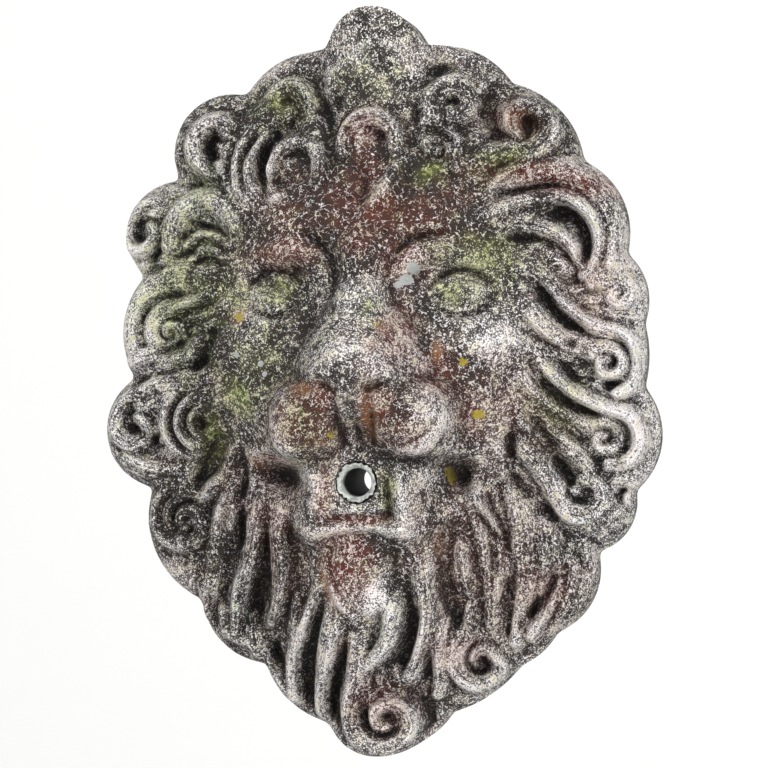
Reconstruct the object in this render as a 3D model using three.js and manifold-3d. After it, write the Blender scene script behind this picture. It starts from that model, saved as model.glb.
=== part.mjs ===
// Lion head wall fountain: a cast stone mask with a flat back, and the metal pipe set in its mouth.
// Millimetres, +Z up, +X to the viewer's right. The back lies on the wall plane Y = 0 and the face
// looks along -Y. "Height" below always means the distance out from the wall.

import * as THREE from "three";
import { mergeVertices } from "three/addons/utils/BufferGeometryUtils.js";
import Module from "manifold-3d";

// Driving dimensions
const RIM_HEIGHT = 16; // side wall at the very edge
const RIM_ROLL = 12; // rise of the rounded edge above the side wall
const ROLL_WIDTH = 16; // how far in the rounded edge reaches
const MANE_RISE = 28; // rise of the mane's ground from the rim to the middle
const LOCK_FADE = 7; // locks die out over this distance from the edge
const CLEFT_FLOOR = 6; // deepest that a cleft goes below the ground
const LOCK_FULLNESS = 0.9; // smooth locks stand a little lower than the crests of the strands on them
const VALLEY_SOFTNESS = 0.75; // degrees, rounding of the notches between lobes
const CELLS = 256; // finest cells along each side of the square net laid over the front, a power of two
const SOFTENING = 5; // times the net's heights are evened out with their neighbours'
const CLOSENESS = 1.6; // a triangle is halved where the surface stands further than this off its long side
const CORE = 0.5; // how much of the net stays square near the middle

// the hole for the pipe, with a chipped mouth in front and a recess behind for the supply pipe's fitting
const SPOUT = {
  x: 0, z: -66, bore: 12.4, mouth: 14.6, mouthFrom: 99, mouthTo: 112, recess: 20, recessDepth: 30,
};
const PIPE = { outer: 12.0, inner: 9.2, back: 28, front: 111.5, flare: 13.0, flareFrom: 104, sides: 28 };

// Lobes of the outline, clockwise from the crown: the notch where each starts and how far its
// round edge stands out from the straight line to the next notch
const LOBES = [
  { notch: [-33, 229], bulge: 27 },
  { notch: [33, 230], bulge: 11 },
  { notch: [91, 206], bulge: 12 },
  { notch: [140, 153], bulge: 13 },
  { notch: [170, 89], bulge: 8 },
  { notch: [182, 41], bulge: 3 },
  { notch: [182, -3], bulge: 15 },
  { notch: [176, -74], bulge: 10 },
  { notch: [150, -116], bulge: 12 },
  { notch: [122, -172], bulge: 3 },
  { notch: [97, -195], bulge: 5 },
  { notch: [50, -227], bulge: 22 },
  { notch: [-33, -236], bulge: 9 },
  { notch: [-79, -195], bulge: 12 },
  { notch: [-126, -151], bulge: 17 },
  { notch: [-161, -73], bulge: 27 },
  { notch: [-174, 3], bulge: 12 },
  { notch: [-167, 75], bulge: 25 },
  { notch: [-141, 141], bulge: 25 },
  { notch: [-94, 200], bulge: 11 },
];

// Curled locks: a tail from root to the rim of the curl, then a spiral round its centre. entry is
// where the tail meets the curl (degrees, 0 = right, 90 = up) and turn how far it winds (negative
// is clockwise). width and tip are half widths, inner is the last radius over the first.
const CURLS = [
  {
    root: [-26, 160], centre: [-61, 191], radius: 14, entry: -15, turn: 320,
    width: 12, lift: 13, tip: 7, inner: 0.4, bow: -4,
  },
  {
    root: [-88, 166], centre: [-111, 163], radius: 16, entry: 60, turn: 215,
    width: 11, lift: 15, tip: 8, inner: 1,
  },
  {
    root: [-72, 112], centre: [-50, 150], radius: 42, entry: 222, turn: -95,
    width: 17, lift: 14, tip: 14, inner: 1,
  },
  {
    root: [-28, 128], centre: [-49, 150], radius: 11, entry: -50, turn: 290,
    width: 12, lift: 13, tip: 9, inner: 0.5,
  },
  {
    root: [-92, 96], centre: [-118, 101], radius: 24, entry: -10, turn: 200,
    width: 13, lift: 14, tip: 10, inner: 1,
  },
  {
    root: [-138, 128], centre: [-163, 104], radius: 19, entry: 60, turn: 330,
    width: 10, lift: 13, tip: 6, inner: 0.4,
  },
  {
    root: [-102, 72], centre: [-142, 36], radius: 33, entry: 85, turn: 130,
    width: 12, lift: 12, tip: 8, inner: 0.95,
  },
  {
    root: [-98, 54], centre: [-141, 34], radius: 16, entry: 90, turn: 430,
    width: 13, lift: 14, tip: 5,
  },
  {
    root: [-104, -4], centre: [-118, -27], radius: 18, entry: 120, turn: 130,
    width: 16, lift: 13, tip: 13, inner: 1,
  },
  {
    root: [-136, 2], centre: [-169, -30], radius: 17, entry: 80, turn: 400,
    width: 13, lift: 13, tip: 6, inner: 0.25,
  },
  {
    root: [-90, -54], centre: [-131, -96], radius: 23, entry: 80, turn: 450,
    width: 12, lift: 14, tip: 5, bow: 8,
  },
  {
    root: [24, 150], centre: [-9, 172], radius: 12, entry: 70, turn: 300,
    width: 9, lift: 13, tip: 5, inner: 0.3, bow: -9,
  },
  {
    root: [28, 158], centre: [56, 190], radius: 14, entry: 190, turn: -300,
    width: 12, lift: 13, tip: 8, inner: 0.5,
  },
  {
    root: [74, 140], centre: [46, 160], radius: 12, entry: -20, turn: 300,
    width: 9, lift: 12, tip: 4,
  },
  {
    root: [60, 146], centre: [106, 176], radius: 19, entry: 255, turn: 330,
    width: 13, lift: 16, tip: 7, inner: 0.45, bow: -4,
  },
  {
    root: [76, 128], centre: [126, 98], radius: 46, entry: 100, turn: -125,
    width: 14, lift: 16, tip: 11, inner: 0.95, bow: 8,
  },
  {
    root: [70, 112], centre: [122, 94], radius: 33, entry: 88, turn: -130,
    width: 9, lift: 15, tip: 6, inner: 0.95,
  },
  {
    root: [150, 86], centre: [167, 60], radius: 11, entry: 120, turn: -380,
    width: 10, lift: 12, tip: 5,
  },
  {
    root: [118, 74], centre: [160, 12], radius: 23, entry: 80, turn: -150,
    width: 8, lift: 15, tip: 6, inner: 0.9, bow: -6,
  },
  {
    root: [126, 44], centre: [160, 13], radius: 12, entry: 100, turn: -400,
    width: 8, lift: 11, tip: 4,
  },
  {
    root: [112, 24], centre: [163, -38], radius: 20, entry: 75, turn: -170,
    width: 8, lift: 15, tip: 6, inner: 0.9, bow: -7,
  },
  {
    root: [124, 0], centre: [158, -38], radius: 12, entry: 100, turn: -380,
    width: 8, lift: 11, tip: 4,
  },
  {
    root: [98, -28], centre: [145, -74], radius: 18, entry: 190, turn: 330,
    width: 12, lift: 14, tip: 6, inner: 0.3, bow: -4,
  },
  {
    root: [160, -62], centre: [174, -76], radius: 9, entry: 90, turn: -250,
    width: 8, lift: 11, tip: 4,
  },
  {
    root: [80, -146], centre: [75, -190], radius: 19, entry: 145, turn: 430,
    width: 10, lift: 14, tip: 5, bow: -4,
  },
  {
    root: [2, -154], centre: [12, -229], radius: 24, entry: 165, turn: 460,
    width: 12, lift: 15, tip: 5, inner: 0.15, bow: -4,
  },
];

// Waved locks: from root to point, drawn aside by sway at a third and at two thirds of the way
// (positive is to the left of travel)
const WAVES = [
  { root: [-98, 78], point: [-146, 76], sway: [7, -5], width: 9, lift: 12, tip: 4 },
  { root: [-98, 30], point: [-176, 12], sway: [6, -8], width: 12, lift: 13, tip: 6 },
  { root: [-102, 12], point: [-166, -8], sway: [8, -6], width: 11, lift: 13, tip: 6 },
  { root: [-112, -60], point: [-186, -50], sway: [10, 6], width: 13, lift: 12, tip: 7 },
  { root: [-90, -66], point: [-120, -160], sway: [-8, 2], width: 13, lift: 14, tip: 6 },
  { root: [-76, -80], point: [-96, -170], sway: [5, -3], width: 13, lift: 15, tip: 6 },
  { root: [-64, -86], point: [-69, -164], sway: [3, 10], width: 12, lift: 14, tip: 6 },
  { root: [-84, -160], point: [-60, -216], sway: [-8, -4], width: 13, lift: 13, tip: 6 },
  { root: [-106, -150], point: [-92, -180], sway: [-4, -4], width: 10, lift: 11, tip: 7 },
  { root: [92, 106], point: [150, 66], sway: [17, 14], width: 11, lift: 13, tip: 5 },
  { root: [98, 84], point: [134, 46], sway: [8, 6], width: 11, lift: 12, tip: 5 },
  { root: [108, 56], point: [150, 18], sway: [-4, -4], width: 11, lift: 12, tip: 5 },
  { root: [104, 16], point: [150, -30], sway: [-6, -4], width: 11, lift: 12, tip: 5 },
  { root: [102, -14], point: [150, -62], sway: [-4, 5], width: 12, lift: 13, tip: 6 },
  { root: [136, -98], point: [122, -170], sway: [12, 12], width: 13, lift: 13, tip: 6 },
  { root: [116, -80], point: [108, -172], sway: [10, 12], width: 13, lift: 14, tip: 6 },
  { root: [96, -56], point: [98, -176], sway: [10, 8], width: 13, lift: 14, tip: 6 },
  { root: [76, -62], point: [82, -164], sway: [4, 4], width: 13, lift: 14, tip: 6 },
  { root: [54, -150], point: [44, -212], sway: [-6, 4], width: 11, lift: 13, tip: 6 },
  { root: [40, -112], point: [28, -200], sway: [8, 10], width: 12, lift: 14, tip: 7 },
  { root: [22, -136], point: [-6, -196], sway: [9, 11], width: 9, lift: 14, tip: 6 },
  { root: [-37, -134], point: [-55, -217], sway: [1, -9], width: 13, lift: 14, tip: 6 },
  { root: [-20, -152], point: [-36, -230], sway: [3, -6], width: 12, lift: 14, tip: 7 },
];

// The low hair under the locks: a ring of short strands from the hairline towards the rim, clear of
// the shell at the crown
const UNDER = {
  count: 40, from: -56, span: 292, root: [100, 122, 22], point: [160, 212, 0], swing: 16,
  sway: 9, width: 11, lift: 7, tip: 6, clear: 42,
};

const radians = THREE.MathUtils.degToRad;
const clamp = THREE.MathUtils.clamp;

// Outline
function lobePoints(start, end, bulge, steps) {
  const chord = new THREE.Vector2().subVectors(end, start);
  const half = chord.length() / 2;
  const outward = new THREE.Vector2(-chord.y, chord.x).normalize();
  const radius = (half * half + bulge * bulge) / (2 * bulge);
  const centre = start.clone().add(end).multiplyScalar(0.5).addScaledVector(outward, bulge - radius);
  const first = start.clone().sub(centre).angle();
  let sweep = end.clone().sub(centre).angle() - first;
  sweep = ((((sweep + Math.PI) % (2 * Math.PI)) + 2 * Math.PI) % (2 * Math.PI)) - Math.PI;
  if (bulge > half && sweep > 0) sweep -= 2 * Math.PI;
  const points = [];
  for (let i = 0; i < steps; i += 1) {
    const angle = first + (sweep * i) / steps;
    points.push(new THREE.Vector2(centre.x + radius * Math.cos(angle), centre.y + radius * Math.sin(angle)));
  }
  return points;
}

function buildOutline(directions = 1440) {
  const notches = LOBES.map((lobe) => new THREE.Vector2(...lobe.notch));
  const ring = LOBES.flatMap(
    (lobe, i) => lobePoints(notches[i], notches[(i + 1) % notches.length], lobe.bulge, 14),
  );
  const polar = ring.map((p) => [Math.atan2(p.y, p.x), p.length()]).sort((a, b) => a[0] - b[0]);
  const full = [-1, 0, 1].flatMap((turn) => polar.map(([angle, r]) => [angle + turn * 2 * Math.PI, r]));
  const raw = [];
  let k = 0;
  for (let i = 0; i < directions; i += 1) {
    const angle = -Math.PI + (2 * Math.PI * i) / directions;
    while (full[k + 1][0] < angle) k += 1;
    const share = (angle - full[k][0]) / (full[k + 1][0] - full[k][0]);
    raw.push(full[k][1] + share * (full[k + 1][1] - full[k][1]));
  }
  const reach = 8;
  const spread = (VALLEY_SOFTNESS * directions) / 360;
  return raw.map((_, i) => {
    let sum = 0;
    let weight = 0;
    for (let j = -reach; j <= reach; j += 1) {
      const w = Math.exp(-0.5 * (j / spread) ** 2);
      sum += w * raw[(i + j + directions) % directions];
      weight += w;
    }
    return sum / weight;
  });
}

const outline = buildOutline();

function outlineRadius(angle) {
  const place = ((angle + Math.PI) / (2 * Math.PI)) * outline.length;
  const low = Math.floor(place);
  const share = place - low;
  const a = outline[((low % outline.length) + outline.length) % outline.length];
  const b = outline[(low + 1) % outline.length];
  return a + share * (b - a);
}

// Paths of the locks and of the grooves and ridges of the face
function swayedPath(root, point, sway, steps = 22) {
  const a = new THREE.Vector2(...root);
  const b = new THREE.Vector2(...point);
  const chord = new THREE.Vector2().subVectors(b, a);
  const left = new THREE.Vector2(-chord.y, chord.x).normalize();
  const pull = 4 / 3;
  const c1 = a.clone().addScaledVector(chord, 1 / 3).addScaledVector(left, sway[0] * pull);
  const c2 = a.clone().addScaledVector(chord, 2 / 3).addScaledVector(left, sway[1] * pull);
  return new THREE.CubicBezierCurve(a, c1, c2, b).getPoints(steps);
}

function curlPath({ root, centre, radius, entry, turn, inner = 0.2, bow = 0 }) {
  const sense = Math.sign(turn);
  const first = radians(entry);
  const a = new THREE.Vector2(...root);
  const c = new THREE.Vector2(...centre);
  const start = c.clone().add(new THREE.Vector2(Math.cos(first), Math.sin(first)).multiplyScalar(radius));
  const along = new THREE.Vector2(-Math.sin(first), Math.cos(first)).multiplyScalar(sense);
  const chord = new THREE.Vector2().subVectors(start, a);
  const left = new THREE.Vector2(-chord.y, chord.x).normalize();
  const c1 = a.clone().addScaledVector(chord, 1 / 3).addScaledVector(left, (bow * 4) / 3);
  const c2 = start.clone().addScaledVector(along, -0.4 * chord.length());
  const points = new THREE.CubicBezierCurve(a, c1, c2, start).getPoints(18);
  const steps = Math.max(36, Math.floor(Math.abs(turn) / 9));
  for (let i = 1; i <= steps; i += 1) {
    const share = i / steps;
    const angle = first + radians(turn) * share;
    const r = radius * (1 - (1 - inner) * share);
    points.push(new THREE.Vector2(c.x + r * Math.cos(angle), c.y + r * Math.sin(angle)));
  }
  return points;
}

function measured(points) {
  let length = 0;
  const segments = points.slice(1).map((end, i) => {
    const start = points[i];
    const size = Math.max(start.distanceTo(end), 1e-9);
    const segment = {
      x: start.x, z: start.y, ux: (end.x - start.x) / size, uz: (end.y - start.y) / size, size, before: length,
    };
    length += size;
    return segment;
  });
  return { segments, length, box: new THREE.Box2().setFromPoints(points) };
}

function nearest(path, x, z) {
  let best = Infinity;
  let side = 0;
  let share = 0;
  for (const s of path.segments) {
    const dx = x - s.x;
    const dz = z - s.z;
    const t = Math.min(Math.max(dx * s.ux + dz * s.uz, 0), s.size);
    const ex = dx - t * s.ux;
    const ez = dz - t * s.uz;
    const square = ex * ex + ez * ez;
    if (square < best) {
      best = square;
      side = Math.sign(s.ux * dz - s.uz * dx);
      share = (s.before + t) / path.length;
    }
  }
  return { distance: Math.sqrt(best), side, share };
}

// Locks
function makeLock(spec, points) {
  return { ...spec, path: measured(points) };
}

function underLocks() {
  const locks = [];
  for (let i = 0; i < UNDER.count; i += 1) {
    const angle = radians(UNDER.from + (UNDER.span * i) / (UNDER.count - 1));
    const side = Math.cos(angle) > 0 ? 1 : -1;
    const swung = angle - side * radians(UNDER.swing);
    const root = [UNDER.root[0] * Math.cos(angle), UNDER.root[2] + UNDER.root[1] * Math.sin(angle)];
    if (Math.abs(root[0]) < UNDER.clear && root[1] > 0) continue;
    const point = [UNDER.point[0] * Math.cos(swung), UNDER.point[2] + UNDER.point[1] * Math.sin(swung)];
    const path = swayedPath(root, point, [UNDER.sway * side, -UNDER.sway * side]);
    locks.push(makeLock({ width: UNDER.width, lift: UNDER.lift, tip: UNDER.tip }, path));
  }
  return locks;
}

const locks = [
  ...underLocks(),
  ...CURLS.map((spec) => makeLock(spec, curlPath(spec))),
  ...WAVES.map((spec) => makeLock(spec, swayedPath(spec.root, spec.point, spec.sway))),
];

function lockHeight(lock, x, z) {
  const { min, max } = lock.path.box;
  const reach = lock.width;
  if (x < min.x - reach || x > max.x + reach || z < min.y - reach || z > max.y + reach) return 0;
  const { distance, side, share } = nearest(lock.path, x, z);
  const swell = lock.width * (0.75 + 0.25 * Math.sin(clamp(share / 0.3, 0, 1) * (Math.PI / 2)));
  const taper = share ** 1.5;
  const width = swell * (1 - taper) + lock.tip * taper;
  const t = distance / width;
  if (t >= 1) return 0;
  const round = (1 - t ** 2.6) ** 0.75;
  const across = (side * t + 1) * 0.5 + 0.05 * Math.sin(7 * share + lock.width);
  const lean = 0.85 + 0.15 * Math.cos(Math.PI * 1.3 * (across - 0.42));
  const grow = 0.15 + 0.85 * THREE.MathUtils.smoothstep(share, 0, 0.22);
  return LOCK_FULLNESS * lock.lift * grow * round * lean;
}

// Soft shapes that the face is modelled with
function softMax(a, b, blend) {
  const h = clamp(0.5 + (0.5 * (a - b)) / blend, 0, 1);
  return b + (a - b) * h + blend * h * (1 - h);
}

function turned(x, z, cx, cz, rx, rz, turn) {
  const c = Math.cos(radians(turn));
  const s = Math.sin(radians(turn));
  return [((x - cx) * c + (z - cz) * s) / rx, (-(x - cx) * s + (z - cz) * c) / rz];
}

function bump(x, z, cx, cz, rx, rz, turn = 0) {
  const [u, v] = turned(x, z, cx, cz, rx, rz, turn);
  return Math.exp(-(u * u + v * v));
}

function dome(x, z, cx, cz, rx, rz, turn = 0, power = 2) {
  const [u, v] = turned(x, z, cx, cz, rx, rz, turn);
  const q = Math.abs(u) ** power + Math.abs(v) ** power;
  return q < 1 ? (1 - q) ** 0.62 : 1 - q;
}

// Each feature below takes the height so far at a place and gives it back with the feature added
function swell(at, size, turn, rise) {
  return (h, x, z) => h + rise * bump(x, z, ...at, ...size, turn);
}

function form(at, size, turn, power, base, rise, blend) {
  return (h, x, z) => softMax(h, base + rise * dome(x, z, ...at, ...size, turn, power), blend);
}

function raisedAlong(points, width, rise, taper) {
  const path = measured(points);
  const box = path.box.clone().expandByScalar(3 * width);
  const place = new THREE.Vector2();
  return (h, x, z) => {
    if (!box.containsPoint(place.set(x, z))) return h;
    const { distance, share } = nearest(path, x, z);
    const end = clamp(Math.min(share, 1 - share) / taper, 0, 1);
    return h + rise * Math.exp(-((distance / width) ** 2)) * (0.35 + 0.65 * Math.sqrt(end));
  };
}

function ridge(root, point, sway, width, rise, taper = 0.25) {
  return raisedAlong(swayedPath(root, point, sway, 16), width, rise, taper);
}

function coil(centre, radius, entry, turn, width, rise, inner = 1) {
  const steps = Math.max(12, Math.floor(Math.abs(turn) / 8));
  const points = [];
  for (let i = 0; i <= steps; i += 1) {
    const angle = radians(entry + (turn * i) / steps);
    const r = radius * (1 - ((1 - inner) * i) / steps);
    points.push(new THREE.Vector2(centre[0] + r * Math.cos(angle), centre[1] + r * Math.sin(angle)));
  }
  return raisedAlong(points, width, rise, 0.25);
}

function both(build) {
  return [-1, 1].flatMap((side) => build(side));
}

// A smooth curve through the given places and values
function curveThrough(stops) {
  const slope = stops.map((stop, i) => {
    const before = stops[Math.max(i - 1, 0)];
    const after = stops[Math.min(i + 1, stops.length - 1)];
    return (after[1] - before[1]) / (after[0] - before[0]);
  });
  return (value) => {
    const place = clamp(value, stops[0][0], stops[stops.length - 1][0]);
    const i = Math.max(stops.findIndex((stop) => place <= stop[0]), 1) - 1;
    const step = stops[i + 1][0] - stops[i][0];
    const t = (place - stops[i][0]) / step;
    const rise = stops[i + 1][1] - stops[i][1];
    const bend0 = slope[i] * step - rise;
    const bend1 = -slope[i + 1] * step + rise;
    return stops[i][1] + rise * t + t * (1 - t) * (bend0 * (1 - t) + bend1 * t);
  };
}

// Nose: height and half width of the bridge at several levels
const bridgeHeight = curveThrough([[-46, 60], [-30, 118], [-14, 145], [5, 149], [18, 146], [40, 133], [70, 118],
  [95, 106], [118, 88], [140, 60]]);
const bridgeWidth = curveThrough([
  [-14, 28], [10, 31], [30, 28], [46, 22], [64, 17], [80, 19], [100, 26], [125, 34],
]);
const NOSE_MIDDLE = 2;

function bridge(h, x, z) {
  const aside = Math.abs(x - NOSE_MIDDLE) / bridgeWidth(z);
  return softMax(h, bridgeHeight(z) - 16 * aside ** 2.5 - 2 * aside ** 2, 8);
}

// Flat of the mouth under the muzzle
function mouthFlat(h, x, z) {
  const sides = 30 * (Math.max(Math.abs(x) - 30, 0) / 20) ** 1.6;
  const below = 24 * (Math.max(-z - 98, 0) / 16) ** 1.5;
  const above = 30 * (Math.max(z + 30, 0) / 12) ** 1.5;
  return softMax(h, 111 - sides - below - above, 8);
}

const face = [
  // muzzle mass; the forehead's two swellings, and a forelock that falls between them to the left
  swell([2, -24], [54, 40], 0, 18),
  swell([-38, 114], [26, 17], 20, 9),
  swell([-62, 118], [13, 10], 30, 3),
  swell([48, 112], [30, 18], -18, 9),
  ridge([8, 152], [-4, 96], [3, 4], 7, 7, 0.4),
  ridge([1, 150], [-22, 90], [4, 6], 3, -8, 0.4),
  ridge([19, 142], [16, 96], [0, 0], 3.4, -4, 0.4),
  ...both((s) => [
    // eye sockets, brows rolled round the inner corners, lids, bags under the eyes
    swell([61 * s + 3, 62], [24, 16], 0, -9),
    ridge([20 * s + 1, 64], [82 * s, 80], [19 * s, 14 * s], 8, 7),
    ridge([17 * s + 1, 66], [27 * s, 34], [-3 * s, -4 * s], 4, -5),
    ridge([44 * s + 3, 60], [80 * s + 3, 58], [11 * s, 11 * s], 2.5, 3),
    ridge([45 * s + 3, 57], [80 * s + 3, 57], [-8 * s, -7 * s], 2.5, 2.5),
    ridge([42 * s + 3, 64], [85 * s + 3, 62], [13 * s, 14 * s], 2.4, -5),
    ridge([46 * s + 2, 44], [84 * s + 2, 46], [-5 * s, -5 * s], 4, 2),
    // hollow beside the nose, cheekbone and cheek
    swell([38 * s + 2, 42], [12, 15], -20 * s, -5),
    swell([84 * s, 28], [18, 13], 12 * s, 8),
    swell([86 * s, -4], [18, 18], 0, 5),
    swell([62 * s, 6], [10, 18], 10 * s, -3),
  ]),
  // what differs on the two sides: grooves round the brows, inner corners, eyeballs
  ridge([-14, 62], [-42, 101], [-9, -7], 3, -8),
  ridge([15, 62], [58, 100], [15, 13], 3, -8),
  swell([-45, 77], [5, 4], -30, -8),
  swell([39, 72], [6, 5], 0, -6),
  form([-57, 57], [18, 10], 0, 2, 83, 8, 3),
  form([65, 60], [15, 9], 0, 2, 83, 8, 3),
  // bridge of the nose, the boss between the brows, and the two lobes of the muzzle
  bridge,
  swell([4, 89], [13, 11], 0, 5),
  swell([3, 72], [17, 5], 0, -3.5),
  swell([-66, -22], [12, 24], 0, 9),
  form([-33, -25], [26, 26], 0, 2.5, 110, 27, 17),
  form([35, -22], [28, 26], -20, 2.4, 108, 32, 12),
  mouthFlat,
  // nose pad, nostrils and the grooves down the middle
  form([2, 4], [29, 17], 0, 2.5, 128, 25, 8),
  ridge([-28, 4], [32, 2], [19, 19], 4, 3),
  ...both((s) => [
    swell([1 + 16 * s, -2], [8, 4.5], 25 * s, -12),
    swell([2 + 28 * s, 5], [7, 7], 0, 4),
    ridge([2 + 10 * s, -2], [2 + 9 * s, -42], [2 * s, 3 * s], 2.8, -6),
  ]),
  ridge([2, -24], [3, -48], [0, 0], 2.2, -5),
  // hollows at the corners of the mouth, the folds round them and those down both sides of the pipe
  swell([-57, -64], [19, 9.5], -12, -21),
  swell([64, -61], [13, 10], 8, -21),
  ...both((s) => [
    ridge([40 * s, -46], [80 * s, -52], [4 * s, 7 * s], 4.5, 5),
    ridge([80 * s, -60], [40 * s, -92], [5 * s, 8 * s], 6, 4),
  ]),
  ridge([-44, -48], [-32, -92], [13, 9], 5, 6, 0.4),
  ridge([29, -50], [32, -98], [1, 1], 5, 6, 0.4),
  swell([45, -61], [10, 9], 0, 5),
  ridge([-20, -54], [-22, -90], [0, 0], 3, -2, 0.4),
  ridge([19, -60], [22, -90], [0, 0], 2.6, -6, 0.4),
  // ledge under the hole, lower lip and the tongue shaped tuft
  ridge([-14, -83], [16, -83], [-2, -2], 4, 4),
  swell([20, -86], [6, 4], -10, -4),
  ridge([-24, -91], [27, -90], [1, 1], 3, -3.5),
  ridge([-30, -100], [33, -99], [4, 4], 4.5, 5),
  ridge([-24, -106], [26, -106], [6, 6], 2.2, -6),
  form([-1, -124], [22, 34], 4, 2.3, 88, 14, 7),
  swell([10, -146], [8, 11], 0, 6),
  ridge([-24, -106], [-4, -160], [-7, -8], 3, 5),
  ridge([22, -106], [16, -156], [3, 3], 3, -4),
  // the shell at the crown with its hollow face and rolled edges, and the swelling left of the forelock
  form([1, 210], [35, 42], 0, 2.6, 38, 14, 6),
  swell([1, 210], [17, 14], 0, -3),
  ridge([-22, 214], [27, 213], [17, 17], 3, 2.5),
  ridge([-31, 214], [-25, 190], [-2, -2], 4.5, 4),
  ridge([31, 214], [29, 192], [2, 2], 4.5, 3),
  swell([-23, 191], [3.5, 5], 0, -8),
  swell([-20, 147], [13, 11], 0, 5),
  ridge([-34, 141], [-69, 124], [-2, -3], 5, 4),
];

// Strands that stand out of the locks, and the deep clefts and holes between them
const carving = [
  coil([-61, 191], 18, -20, 270, 4.5, 4, 0.85),
  coil([-111, 164], 16, 50, 200, 4.5, 5),
  ridge([-111, 174], [-109, 143], [-5, -5], 3.6, -9),
  ridge([-80, 169], [-85, 129], [-8, -8], 3.4, -8),
  coil([-49, 150], 17, -60, 290, 4, 3),
  coil([-50, 150], 26, 128, 100, 4, -10),
  coil([-118, 103], 26, 0, 170, 6, 3),
  coil([-116, 86], 22, 35, 115, 3.2, -6),
  coil([-115, 81], 16, 30, 120, 3, -6),
  ridge([-153, 124], [-148, 92], [-3, -3], 5, 5),
  ridge([-3, 166], [8, 146], [5, 5], 4, 5),
  coil([57, 191], 19, 195, -160, 4.5, 6),
  ridge([80, 196], [90, 162], [-5, -5], 5, -13),
  ridge([86, 192], [87, 169], [5, 5], 5, 8),
  ridge([75, 111], [128, 126], [-4, -3], 6, 6),
  coil([122, 94], 35, 85, -112, 5.5, 8),
  coil([122, 94], 24.5, 80, -112, 4.6, -13),
  coil([160, 12], 23, 85, -125, 4.5, 6),
  ridge([115, 67], [145, 35], [-4, -4], 4.6, -14),
  ridge([115, 20], [166, -20], [-7, -5], 4.4, 7),
  coil([163, -38], 19, 80, -100, 4.5, 6),
  swell([164, -35], [9, 9], 0, -9),
  ridge([103, -34], [130, -72], [-4, -2], 7, 6),
  coil([147, -76], 21, 205, 150, 6, 9),
  ridge([59, -95], [62, -164], [-6, -8], 5, -17),
  ridge([60, -104], [66, -160], [5, 6], 5, 7),
  ridge([119, -107], [110, -144], [2, 0], 5.5, 7),
  ridge([132, -139], [110, -169], [1, 1], 5, 8),
  ridge([151, -117], [140, -161], [5, 5], 4.5, 5),
  coil([74, -190], 19, 165, 175, 5, 7),
  coil([15, -231], 17, 80, -135, 5, 9),
  swell([10, -232], [6, 6], 0, -8),
  ridge([22, -142], [-5, -194], [9.6, 11], 4.5, 8),
  ridge([-39, -152], [-56, -216], [0, -8], 4.2, 7),
  ridge([-7, -196], [-11, -240], [-8, -8], 4.5, 7),
  ridge([-30, -146], [-47, -222], [0, -5], 4, -12),
  ridge([-14, -178], [-24, -234], [-4, -7], 4, -10),
  coil([-137, -91], 22, 95, 178, 5, 7),
  ridge([-98, -59], [-120, -83], [0, 0], 4.5, 7),
  ridge([-71, -123], [-93, -162], [-11, -10], 6, 9),
  ridge([-51, -99], [-46, -158], [6, 7], 5.5, -17),
  ridge([-71, -91], [-78, -154], [5, 4.6], 4.4, -10),
  ridge([-117, -147], [-115, -169], [0, 0], 5.5, -13),
  ridge([-160, 67], [-168, 27], [-7, -6], 7, 5),
  ridge([-106, 37], [-123, 7], [2, 2], 4.6, -13),
  ridge([-156, 5], [-141, -9], [0, 0], 5, 6),
  coil([-118, -27], 28, 120, 118, 5, 8),
  ridge([-185, -29], [-151, -63], [-5, -4], 6, 6),
  ridge([-105, -33], [-124, -74], [3, 0], 6, -16),
];

// Ground that the face and the mane are raised on: the mane's plate, the skull and the jaw
function ground(x, z) {
  const reach = Math.hypot(x, z);
  const edge = outlineRadius(Math.atan2(z, x));
  const q = clamp(reach / edge, 0, 1);
  const inset = clamp((edge - reach) / ROLL_WIDTH, 0, 1);
  const plate = RIM_HEIGHT + RIM_ROLL * Math.sqrt(1 - (1 - inset) ** 2) + MANE_RISE * (1 - q ** 2.6);
  const skull = 52 + 50 * clamp(1 - Math.hypot(x / 122, (z - 26) / 150) ** 2.3, -1, 1);
  const jaw = 46 + 50 * clamp(1 - Math.hypot(x / 84, (z + 92) / 118) ** 2.3, -1, 1);
  return softMax(softMax(plate, skull, 16), jaw, 14);
}

function maskHeight(x, z) {
  const body = face.reduce((h, feature) => feature(h, x, z), ground(x, z));
  const inside = outlineRadius(Math.atan2(z, x)) - Math.hypot(x, z);
  const fade = Math.sqrt(clamp(inside / LOCK_FADE, 0, 1));
  const hair = locks.reduce((most, lock) => Math.max(most, lockHeight(lock, x, z)), 0);
  const carved = carving.reduce((h, feature) => feature(h, x, z), hair);
  return body + Math.max(carved, -CLEFT_FLOOR) * fade;
}

// Mask mesh: a square net drawn out to the outline, a side wall and a flat back
function netPoint(i, j) {
  const u = (2 * i) / CELLS - 1;
  const v = (2 * j) / CELLS - 1;
  const ring = Math.max(Math.abs(u), Math.abs(v));
  if (ring === 0) return [0, 0];
  const square = Math.atan2(v, u);
  const even = Math.abs(u) >= Math.abs(v) ? (Math.PI / 4) * (v / u) : Math.PI / 2 - (Math.PI / 4) * (u / v);
  const angleEven = Math.abs(u) >= Math.abs(v) ? (u < 0 ? Math.PI + even : even) : v < 0 ? even + Math.PI : even;
  const blend = CORE + (1 - CORE) * ring;
  const angle = square + blend * Math.atan2(Math.sin(angleEven - square), Math.cos(angleEven - square));
  const reach = outlineRadius(angle) * (blend * ring + (1 - blend) * Math.hypot(u, v) / Math.SQRT2);
  return [reach * Math.cos(angle), reach * Math.sin(angle)];
}

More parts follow.
